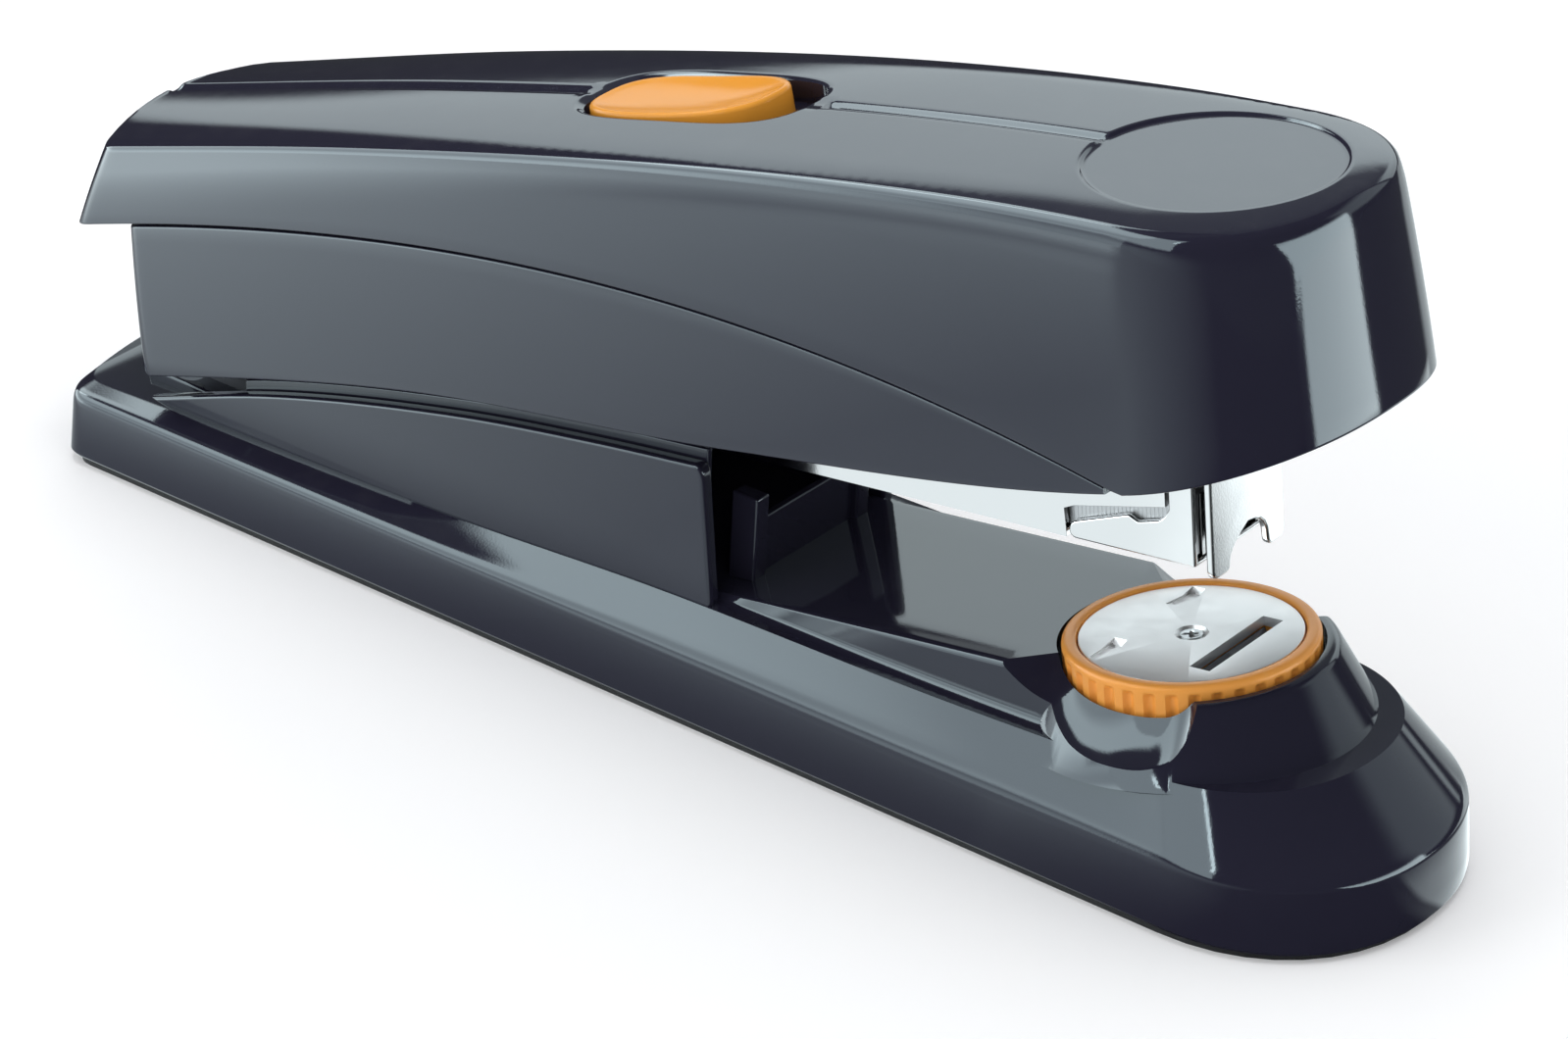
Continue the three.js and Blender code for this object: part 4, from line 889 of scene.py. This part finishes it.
joined_or_cut(plate, upright_prism("slot", slot_line, -3, 1), "DIFFERENCE")
grooves = (
    [(-6.6, -10.9), (-6.5, -8.4), (-7.0, -5.0), (-5.3, -5.0), (-4.9, -6.7), (-4.95, -8.5), (-5.3, -10.4)],
    [(-6.9, 5.0), (-6.4, 7.8), (-6.8, 10.6), (-5.15, 10.6), (-4.7, 9.0), (-4.75, 7.6), (-5.4, 5.3)])
for groove in grooves:
    middle = sum(y for x, y in groove) / len(groove)
    bottom = [(x - 0.2, middle + (y - middle) * 0.86, -0.8 if y > middle else -0.3) for x, y in groove]
    joined_or_cut(plate, prism("pinning_groove", bottom, [(x, y, 0.15) for x, y in groove]), "DIFFERENCE")
sink = turned_piece("sink", [(0, -0.75), (1.35, -0.75), (1.5, -0.5), (1.95, -0.05), (2.1, 0.2), (0, 0.2)], 64)
joined_or_cut(plate, sink, "DIFFERENCE")
plate.data.transform(anvil_place)
shaded(plate, 25)
satin_plate = finish_of("satin_plated_steel", (0.91, 0.89, 0.89), 0.42, metallic=1.0, spread=0.06, bump=0.02,
                        tint=0.03, dust=0.0)
fitted(plate, satin_plate, "anvil_turntable", "chrome", "anvil_plate")

anvil_screw = grown("anvil_screw_head", screw_tree, [(0, 0, 0)], {
    "Head Radius": 0.0013, "Head Height": 0.0006, "Recess Width": 0.0005, "Recess Length": 0.0017,
    "Recess Depth": 0.0004, "Material": zinc})
anvil_screw.data.transform(anvil_place @ Matrix.Rotation(0.5, 4, "Z") @ Matrix.Translation((0, 0, -0.00073)))
soften(anvil_screw, 0.05, 2)
fitted(anvil_screw, zinc, "anvil_turntable", "steel", "anvil_screw")
dressed("anvil_retainer", zinc)

former, former_half = [], 7.4
for i in range(49):
    y = former_half * (2 * i / 48 - 1)
    curl = 1.1 * math.sin(math.pi * min(1.0, abs(y) / former_half)) ** 0.8
    former.append([(x, y, z) for x, z in (
        (4.83, -5.0), (4.83, -1.3), (4.95, -1.3), (5.15, -1.7), (5.65, -1.75 - curl * 0.6), (6.1, -1.75 - curl),
        (6.55, -1.75 - curl * 0.6), (7.05, -1.7), (7.25, -1.3), (7.37, -1.3), (7.37, -5.0))])
clinch_former = tube("clinch_former", former)
clinch_former.data.transform(anvil_place)
shaded(clinch_former, 40)
fitted(clinch_former, dark_steel, "clincher", "steel", "clinch_block")

# ---------- magazine arm ----------
# A folded steel frame straddles the chromed channel that the staple drawer runs in. Four domed rivets hold
# the two together, and the frame's rear ears swing on the pivot pin.
edged_copy("arm_frame", 0.2, pressed_steel, "magazine_arm", "steel")
edged_copy("magazine_channel", 0.14, bright_chrome, "magazine_arm", "chrome")


def domed_rivets():
    """Low round heads, one on each point."""
    tree, given, out = geometry_tree("domed_rivets", Head_Radius=0.0018, Flatness=0.3)
    ball = made(
        tree, "GeometryNodeMeshUVSphere", Segments=24, Rings=12, Radius=given["Head Radius"]).outputs[0]
    squash = vector(tree, X=1.0, Y=given["Flatness"], Z=1.0)
    dome = made(tree, "GeometryNodeTransform", Geometry=ball, Scale=squash).outputs[0]
    heads = made(tree, "GeometryNodeInstanceOnPoints", Points=given["Geometry"], Instance=dome)
    finish_tree(tree, out, heads.outputs[0], given["Material"])
    return tree


places = []
for i in range(1, 5):
    low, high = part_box(f"magazine_rivet_{i}")
    outer = max(low.y, high.y, key=abs)
    places.append(((low.x + high.x) / 2, outer - math.copysign(0.0004, outer), (low.z + high.z) / 2))
rivets = grown("magazine_rivets", domed_rivets(), places, {
    "Head Radius": 0.0018, "Flatness": 0.3, "Material": zinc})
fitted(rivets, zinc, "magazine_arm", "steel", *[f"magazine_rivet_{i}" for i in range(1, 5)])
dressed("latch_pin", pressed_steel)

# ---------- staple drawer ----------
# The drawer's chromed rail slides in the channel and carries the staples; its head closes the magazine's
# nose, and the front plate guides the driver. A black nylon follower runs on a rod inside the rail.
black_nylon = finish_of(
    "black_nylon", (0.02, 0.02, 0.024), 0.42, spread=0.08, bump=0.08, scales=(700.0, 5200.0))
staple_wire = finish_of("staple_wire", (0.5, 0.5, 0.51), 0.35, metallic=1.0, spread=0.08, bump=0.02)
edged_copy("staple_rail", 0.12, bright_chrome, "staple_drawer", "chrome")
edged_copy("drawer_head", 0.3, bright_chrome, "staple_drawer", "chrome")
edged_copy("front_plate", 0.3, bright_chrome, "staple_drawer", "chrome")
edged_copy("follower", 0.25, black_nylon, "staple_follower", "inner_black")
dressed("follower_rod", pressed_steel)


def staple_row():
    """Wire staples side by side along X, all hanging open downwards from Z = 0."""
    tree, given, out = geometry_tree(
        "staple_row", Count=80, Pitch=0.00055, Half_Width=0.0061, Leg=0.007, Wire=0.0005)
    half, leg = given["Half Width"], given["Leg"]
    minus_half, minus_leg = product(tree, half, -1.0), product(tree, leg, -1.0)
    foot_a, foot_b = vector(tree, Y=minus_half, Z=minus_leg), vector(tree, Y=half, Z=minus_leg)
    top_a, top_b = vector(tree, Y=minus_half), vector(tree, Y=half)
    parts = [
        made(tree, "GeometryNodeCurvePrimitiveLine", Start=a, End=b).outputs[0]
        for a, b in ((foot_a, top_a), (top_a, top_b), (top_b, foot_b))]
    run = node_in(tree, "GeometryNodeJoinGeometry")
    for part in parts:
        tree.links.new(part, run.inputs[0])
    wire = made(
        tree, "GeometryNodeCurvePrimitiveQuadrilateral", Width=given["Wire"], Height=given["Wire"])
    swept = made(tree, "GeometryNodeCurveToMesh", Curve=run.outputs[0], Profile_Curve=wire.outputs[0])
    swept.inputs["Fill Caps"].default_value = True
    step = vector(tree, X=given["Pitch"])
    line = made(tree, "GeometryNodeMeshLine", Count=given["Count"], Offset=step).outputs[0]
    row = made(tree, "GeometryNodeInstanceOnPoints", Points=line, Instance=swept.outputs[0])
    finish_tree(tree, out, row.outputs[0], given["Material"])
    return tree


arm_place = Matrix.Translation(pivot) @ Matrix.Rotation(-arm_tilt, 4, "Y")
arm_place = arm_place @ Matrix.Translation((136.8 * MM, 0, -3.7 * MM))
staples = grown("staples", staple_row(), [(0, 0, 0)], {
    "Count": 89, "Pitch": 0.00055, "Half Width": 0.00608, "Leg": 0.0074, "Wire": 0.00052,
    "Material": staple_wire})
staples.data.shade_flat()
staples.data.transform(arm_place @ Matrix.Translation((-44.7 * MM, 0, 8.7 * MM)))
fitted(staples, staple_wire, "staple_drawer", "steel", "staple_strip")

# ---------- drawer latch and driver ----------
# The latch is a nylon lever on a steel pin that hooks the rail's tail; the release slider tips it. The
# driver is a hard steel blade in a nylon carrier that the handle pushes down.
hard_steel = finish_of("hard_blade_steel", (0.5, 0.5, 0.52), 0.2, metallic=1.0, spread=0.1, bump=0.03)
edged_copy("drawer_latch", 0.25, black_nylon, "latch", "inner_black")
edged_copy("driver_blade", 0.08, hard_steel, "driver", "steel")
edged_copy("driver_carrier", 0.3, black_nylon, "driver", "inner_black")

# ---------- handle cover ----------
# The cover is a thin-walled moulding in the same glossy black ABS that snaps over the skirt. A soft crease
# parts its crowned roof, with a centre groove, the button's well and a round press pad, from its walls.
crease_height = smooth_through([(-158, 39.2), (-110, 55.5), (-60, 70.1), (-20, 79.1), (16, 84.6)])
crease_half = smooth_through([(-158, 17), (-110, 18.9), (-60, 19.9), (0, 19.9), (16, 19.7)])
crown = smooth_through([(-158, 2), (-60, 0.8), (16, 0.7)])
rim_height = smooth_through([(-158, 8), (-141, 14.3), (-100, 27.2), (-50, 37.6), (0, 50.8), (23, 60.9)])
bend_depth = smooth_through([(-158, 1.1), (-110, 0.75), (-60, 0.6), (16, 0.5)])
bend_width = smooth_through([(-158, 11), (-110, 7), (-60, 5), (16, 4)])
parting_from, parting_pull_a, parting_pull_b, parting_to = (-156, 29.5), (-105, 48.6), (-54, 60), (5.5, 51.6)
crease_start, crease_reach, rim_start, rim_reach, nose_power = -3.4, 19.4, 4.7, 18, 2.3
rear_bow, corner_round, seam_half, seam_depth = 3, 2.2, 1.3, 0.6
loft_rear, crease_out = -158, 0.35


def parting_height(x):
    low, high = 0.0, 1.0
    for _ in range(30):
        t = (low + high) / 2
        at = [
            a * (1 - t) ** 3 + 3 * b * t * (1 - t) ** 2 + 3 * c * t * t * (1 - t) + d * t ** 3
            for a, b, c, d in zip(parting_from, parting_pull_a, parting_pull_b, parting_to)]
        low, high = (t, high) if at[0] < x else (low, t)
    return at[1] + min(0.0, x - parting_from[0]) * 0.3


def seam_fall(y):
    """Depth of the centre groove beside its middle line: a rounded V with soft shoulders."""
    return seam_depth * eased(1 - abs(y) / (seam_half + 0.25))


def side_point(t, s, inset=0.0):
    """A point of the casing's wall: t runs along the side (0 to 1) and round the nose (1 to 2), s from rim
    to crease."""
    def edge(start, reach, half, height, pull):
        if t <= 1:
            x = loft_rear + (start - loft_rear) * t
            return Vector((x, half(x) - pull, height(x)))
        angle = (2 - t) * math.pi / 2
        x = start + (reach - pull) * math.cos(angle) ** (2 / nose_power)
        return Vector((x, (half(start) - pull) * math.sin(angle) ** (2 / nose_power), height(x)))

    def at(pull):
        rim = edge(rim_start, rim_reach, lambda x: 22.5 + 0.0132 * (x - rim_start), rim_height, pull)
        return rim, edge(crease_start, crease_reach, crease_half, crease_height, pull - crease_out)
    rim, crease = at(inset)
    tall, width = (crease - rim).length, bend_width(crease.x)
    bent = max(0.0, 1 - (1 - s) * tall / width)
    rim, crease = at(inset + bend_depth(crease.x) * bent * bent)
    point = rim.lerp(crease, s)
    point.y += 2 * s * (1 - s) * crease.y / crease_half(crease.x)
    return point


def casing_loop(rear, lean, bow, rear_marks, straight, nose):
    """Returns wall(column, s, inset) and the number of columns, from the rear's middle to the nose's tip."""
    corner_steps, rear_span = 9, 13.2
    count = len(rear_marks) + corner_steps + straight + nose + 1
    tilt = math.tan(math.radians(lean))

    def rear_at(z, inset):
        return rear + inset + (z - 44) * tilt

    def wall(column, s, inset=0.0):
        if column >= len(rear_marks) + corner_steps + straight:
            t = 1 + min(0.9999, (column - len(rear_marks) - corner_steps - straight) / nose)
            point = side_point(t, s, inset)
            if column == count - 1:
                point.y = 0.0
            return point
        low, high = 0.0, 0.3
        for _ in range(26):
            t = (low + high) / 2
            peak = side_point(t, s, inset)
            low, high = (t, high) if peak.x < rear_at(peak.z, inset) + bow else (low, t)
        turn_round = max(0.6, corner_round - inset)
        first_t = t + turn_round / abs(loft_rear)
        if column >= len(rear_marks) + corner_steps:
            share = (column - len(rear_marks) - corner_steps) / straight
            return side_point(first_t + (1 - first_t) * share, s, inset)
        start_y = peak.y - turn_round

        def on_rear(y):
            rise = crown(peak.x) * (1 - (y / peak.y) ** 2) * s ** 4
            return Vector((rear_at(peak.z, inset) + bow * (y / peak.y) ** 2, y, peak.z + rise))
        if column < len(rear_marks):
            mark = rear_marks[column]
            return on_rear(mark / rear_span * start_y if mark > 2.3 else mark)
        i = (column - len(rear_marks)) / corner_steps
        begin, end = on_rear(start_y), side_point(first_t, s, inset)
        return begin * (1 - i) ** 2 + peak * 2 * i * (1 - i) + end * i * i
    return wall, count


rear_marks = [0, 0.3, 0.6, 0.9, 1.2, 1.55, 2.2, 3.4, 5, 7, 9, 11]
cover_wall, cover_count = casing_loop(-153.2, 14, rear_bow, rear_marks, 120, 72)


def share_at(wall, column, height, drop=0.0):
    """The share of the wall's rise at which a column meets a height given as a function of x."""
    low, high = 0.0, 0.98
    if wall(column, 0.0).z >= height(wall(column, 0.0).x) - drop:
        return 0.0
    for _ in range(26):
        s = (low + high) / 2
        point = wall(column, s)
        low, high = (s, high) if point.z < height(point.x) - drop else (low, s)
    return s


def crease_size(x):
    """How far the crease reaches round the nose and how wide it is."""
    out = crease_out - bend_depth(x)
    return crease_reach + out, crease_half(min(x, crease_start)) + out


def roof_half(x):
    """Half width of the roof at the crease, round the nose as well."""
    reach, wide = crease_size(x)
    share = clamped((x - crease_start) / reach)
    return wide * (1 - share ** nose_power) ** (1 / nose_power)


def roof_height(x, y):
    """The plain roof: crowned across, and rolled off along its edge."""
    half = roof_half(x)
    across = min(1.0, abs(y) / half) if half > 0.01 else 1.0
    reach, wide = crease_size(x)
    if x <= crease_start:
        inward = wide - abs(y)
    else:
        a, b = x - crease_start, abs(y)
        level = ((a / reach) ** nose_power + (b / wide) ** nose_power) ** (1 / nose_power)
        inward = (1 - level) * math.hypot(a, b) / level if level > 0.01 else wide
    roll = max(0.0, 1 - max(0.0, inward) / 5.5)
    return crease_height(x) + crown(x) * half / crease_half(x) * (1 - across * across) - 0.42 * roll * roll


def cover_column(c):
    low = share_at(cover_wall, c, parting_height)
    top = cover_wall(c, 1.0)
    tall = (top - cover_wall(c, 0.0)).length
    lip = 0.35 / tall
    point = lambda s, inset=0.0: tuple(cover_wall(c, s, inset))
    column = [point(1 - 2.2 / tall, 1.7), point((low + 1) / 2, 1.7), point(low + lip, 1.7), point(low, 1.5)]
    column += rounded(point(low, 0.4), point(low), point(low + lip), 4)
    for i in range(1, 13):
        share = 1 - (1 - i / 13) ** 1.5
        column.append(point(low + lip + (1 - 0.62 / tall - low - lip) * share))
    along = cover_wall(min(cover_count - 1, c + 1), 1.0) - cover_wall(max(0, c - 1), 1.0)
    if c == 0 or c == cover_count - 1:
        along = Vector((0, 1 if c == 0 else -1, 0))
    inward = Vector((along.y, -along.x)).normalized()
    crease = Vector((top.x, top.y, roof_height(top.x, top.y)))
    flat = Vector((top.x + inward.x * 0.6, max(0.0, top.y + inward.y * 0.6)))
    beside = Vector((flat.x, flat.y, roof_height(flat.x, flat.y)))
    if c < len(rear_marks):
        crease.z -= seam_fall(top.y)
        beside.z -= seam_fall(flat.y)
        x, y, z = column[-1]
        column[-1] = (x, y, z - seam_fall(top.y))
    column += rounded(column[-1], tuple(crease), tuple(beside), 6)[1:]
    return column


cover_columns = [cover_column(c) for c in range(cover_count)]
cover_columns[0] = [(x, 0.0, z) for x, y, z in cover_columns[0]]
cover_columns[-1] = [(x, 0.0, z) for x, y, z in cover_columns[-1]]
points, faces = skinned_rows(cover_columns)
rows = len(cover_columns[0])
faces += rungs(cover_count, rows, 0)

button_x, button_long, button_wide, button_power, button_travel = -74.0, 12.8, 7.2, 3.0, 4.5
button_gap, button_side_gap, well_depth = 0.5, 0.8, 4.0
button_tilt = math.atan((crease_height(button_x + 5) - crease_height(button_x - 5)) / 10)
button_top = crease_height(button_x) + crown(button_x)
pad_x, pad_radius, pad_depth = -2.5, 14.5, 0.7
pad_slope = (crease_height(pad_x + 5) - crease_height(pad_x - 5)) / 10


def to_roof(x, y, z):
    """Along and above the plane that lies on the roof at the button."""
    a, b, c, s = x - button_x, z - button_top, math.cos(button_tilt), math.sin(button_tilt)
    return a * c + b * s, y, b * c - a * s


def from_roof(u, y, h):
    c, s = math.cos(button_tilt), math.sin(button_tilt)
    return button_x + u * c - h * s, y, button_top + u * s + h * c


def button_plan(long, wide, steps):
    """A ring of (u, y) points on the button's rounded plan."""
    ring = []
    for i in range(steps):
        angle = 2 * math.pi * (i + 0.5) / steps
        ring.append(tuple(
            math.copysign(abs(part) ** (2 / button_power), part) * size
            for part, size in ((math.cos(angle), long), (math.sin(angle), wide))))
    return ring


def well_ring(out):
    """The button's plan drawn out by the well's gap and a margin, its nose end moved on by the travel."""
    ring = button_plan(button_long + button_gap + out, button_wide + button_side_gap + out, 96)
    return [(u + (button_travel if u > 0 else 0), y) for u, y in ring]


def well_margin(u, y):
    """How far outside the well's wall a point lies."""
    a = abs(u - min(max(u, 0.0), button_travel))
    low, high = -8.0, 30.0
    if a > 40:
        return 30.0
    for _ in range(24):
        out = (low + high) / 2
        level = (a / (button_long + button_gap + out)) ** button_power
        level += (abs(y) / (button_wide + button_side_gap + out)) ** button_power
        low, high = (out, high) if level > 1 else (low, out)
    return out


def blended_min(a, b, width):
    share = clamped(0.5 + (b - a) / (2 * width))
    return b + (a - b) * share - width * share * (1 - share)


pad_u = to_roof(pad_x, 0, crease_height(pad_x) + crown(pad_x))[0]


def roof_level(u, y):
    """Height over the roof plane of the finished roof, with its groove, well and pad."""
    h = 0.0
    for _ in range(5):
        x = button_x + u * math.cos(button_tilt) - h * math.sin(button_tilt)
        h = (roof_height(x, y) - button_top) * math.cos(button_tilt) - (x - button_x) * math.sin(button_tilt)
    if u < pad_u - pad_radius + 0.3:
        h -= seam_fall(y)
    out = well_margin(u, y)
    if out < 3.5:
        h = blended_min(h, -0.6 + 0.6 * out, 0.12)
    if out < 0:
        h += (-well_depth - h) * min(1.0, out / -0.15)
    away = math.hypot(u - pad_u, y) - pad_radius
    if away < 0.35:
        floor_z = crease_height(pad_x) + crown(pad_x) - pad_depth + (x - pad_x) * pad_slope
        floor_h = (floor_z - button_top) * math.cos(button_tilt) - (x - button_x) * math.sin(button_tilt)
        h += (floor_h - h) * eased((0.3 - away) / 0.5)
    return h


edge_line = [column[-1] for column in cover_columns]
edge_line += [(x, -y, z) for x, y, z in reversed(edge_line[1:-1])]
flat_points = [Vector(to_roof(*point)[:2]) for point in edge_line]
edge_count = len(flat_points)
flat_edges = [(i, (i + 1) % edge_count) for i in range(edge_count)]


def add_line(line, closed):
    first = len(flat_points)
    flat_points.extend(Vector(point) for point in line)
    flat_edges.extend((first + i, first + i + 1) for i in range(len(line) - 1))
    if closed:
        flat_edges.append((first + len(line) - 1, first))


for out in (2.2, 1.6, 1.3, 1.1, 0.9, 0.6, 0.3, 0.0, -0.15, -0.6):
    add_line(well_ring(out), True)
for away in (0.7, 0.3, 0.18, 0.05, -0.08, -0.2, -0.6):
    radius = pad_radius + away
    turns = [a * math.pi / 90 for a in range(180)]
    add_line([(pad_u + radius * math.cos(a), radius * math.sin(a)) for a in turns], True)
rear_u = flat_points[0].x + 0.8
well_rear_u, well_nose_u = -button_long - button_gap - 2.8, button_long + button_gap + button_travel + 2.8
for y in (0, 0.3, 0.6, 0.9, 1.2, 1.55, 2.1):
    for side in ((1, -1) if y else (1,)):
        for low, high in ((rear_u, well_rear_u), (well_nose_u, pad_u - pad_radius - 0.95)):
            steps = max(4, int((high - low) / 1.5))
            add_line([(low + (high - low) * i / steps, side * y) for i in range(steps + 1)], False)
edge_low = min(point.x for point in flat_points[:edge_count])
edge_high = max(point.x for point in flat_points[:edge_count])
for i in range(int((edge_high - edge_low) / 1.05)):
    u = edge_low + 0.5 + 1.05 * i
    for j in range(-19, 20):
        y = 1.05 * (j + 0.5 * (i % 2))
        x = from_roof(u, y, 0)[0]
        clear = roof_half(x) - abs(y) > 1.3 and roof_half(x + 1.2) > abs(y)
        clear = clear and u > rear_u + 0.2 + rear_bow * (y / 17) ** 2
        in_seam = abs(y) < 2.6 and (u < well_rear_u + 0.5 or well_nose_u - 0.5 < u < pad_u - pad_radius)
        at_pad = -1.1 < math.hypot(u - pad_u, y) - pad_radius < 1.2
        if clear and not in_seam and not at_pad and not -1.1 < well_margin(u, y) < 3.0:
            flat_points.append(Vector((u, y)))
flat, _, tiles, *_ = delaunay_2d_cdt(flat_points, flat_edges, [], 1, 1e-5)
first = len(points)
given_height = {}
for point in edge_line:
    u, y, h = to_roof(*point)
    given_height[(round(u, 3), round(y, 3))] = h
for u, y in flat:
    h = given_height.get((round(u, 3), round(y, 3)))
    points.append(from_roof(u, y, roof_level(u, y) if h is None else h))
faces += [tuple(first + i for i in tile) for tile in tiles]
handle_cover = made_piece("cover_moulding", points, faces)
shaded(handle_cover, 42)
fitted(handle_cover, gloss_black, "handle", "shell_black", "handle_cover")

# ---------- handle skirt ----------
# The lower half of the handle is a second black moulding, set in by half a millimetre under the cover, with a
# tongue that seats behind the cover's lip. Inside, two bosses turn on the pivot pin.
skirt_wall, skirt_count = casing_loop(-150.3, -10, rear_bow, [0, 1.5, 3, 5, 7, 9, 11], 150, 40)
skirt_inset, parting_gap = 0.45, 0.35


def skirt_foot(x):
    if x > -138.3:
        return rim_height(x)
    t = clamped((x + 146.9) / 8.6)
    return max(rim_height(x), 19 * (1 - t) ** 2 + 2 * 14.6 * t * (1 - t) + 14 * t * t)


def inset_wall(column, s, inset=0.0):
    return skirt_wall(column, s, skirt_inset + inset)


skirt_columns = []
for c in range(skirt_count):
    top = share_at(inset_wall, c, parting_height, parting_gap)
    low = share_at(inset_wall, c, skirt_foot) if inset_wall(c, 0.0).x < -137 else 0.0
    tall = (inset_wall(c, 1.0) - inset_wall(c, 0.0)).length
    if (top - low) * tall < 0.8:
        break
    bit, rise = 0.3 / tall, 1.3 / tall
    point = lambda s, inset=0.0: tuple(inset_wall(c, s, inset))
    column = rounded(point(low, 0.4), point(low), point(low + bit), 3)
    column += [point(low + bit + (top - low - 2 * bit) * i / 10) for i in range(1, 10)]
    column += rounded(point(top - bit), point(top), point(top, 0.35), 3)
    column += [point(top, 1.45), point(top + rise, 1.45), point(top + rise, 2.1)]
    column += [point(top, 2.15), point(low, 1.9)]
    skirt_columns.append(column)
loop = [[(x, -y, z) for x, y, z in column] for column in reversed(skirt_columns[1:])] + skirt_columns
skirt = tube("skirt_moulding", loop)
shaded(skirt, 40)
bosses = []
for side in (1, -1):
    profile = [(1.65, 11.8), (5.6, 11.8), (5.6, 18.9), (1.65, 18.9)]
    place = Matrix.Translation(pivot) @ Matrix.Rotation(-side * math.pi / 2, 4, "X")
    boss = turned_piece("pivot_boss", profile, 48, place)
    bosses.append(shaded(boss))
skirt = assembled("skirt_moulding", [skirt, *bosses])
fitted(skirt, gloss_black, "handle", "shell_black", "handle_skirt")

# ---------- release button ----------
# The button is a dished slide in glossy orange ABS. Its raised front lip gives the thumb a hold, and a nylon
# slider below the roof carries its push down to the latch.
orange_gloss = finish_of("orange_gloss_abs", (0.83, 0.34, 0.04), 0.2, spread=0.04, worn=(0.95, 0.6, 0.2),
                         wear=0.2, bump=0.02, tint=0.03, specular=0.12)
crown_out, dish_depth = -1.05, -1.05
button_rings = [
    (0.0, -3.7, None), (0.0, -2.0, None), (0.0, -0.55, None), (-0.06, -0.3, None), (-0.22, -0.1, None),
    (-0.45, 0.0, None), (-0.75, -0.03, None), (crown_out, -0.14, None)]
button_rings += [(crown_out, None, 1 - i / 15) for i in range(1, 15)]
sections = []
for out, fall, share in button_rings:
    section = []
    for u, y in button_plan(button_long + out, button_wide + out, 120):
        lip_height = -0.15 + 0.65 * eased((u + 5) / 18)
        if share is None:
            h = fall if fall <= -2 else lip_height + fall
        else:
            edge_h = lip_height - 0.14
            h = edge_h + (dish_depth - edge_h) * (1 - share ** 2.6)
            u, y = u * share, y * share
        section.append(from_roof(u, y, h))
    sections.append(section)
button = tube("thumb_button", sections)
shaded(button, 50)
fitted(button, orange_gloss, "button", "orange", "release_button")
edged_copy("release_slider", 0.25, black_nylon, "button", "inner_black")
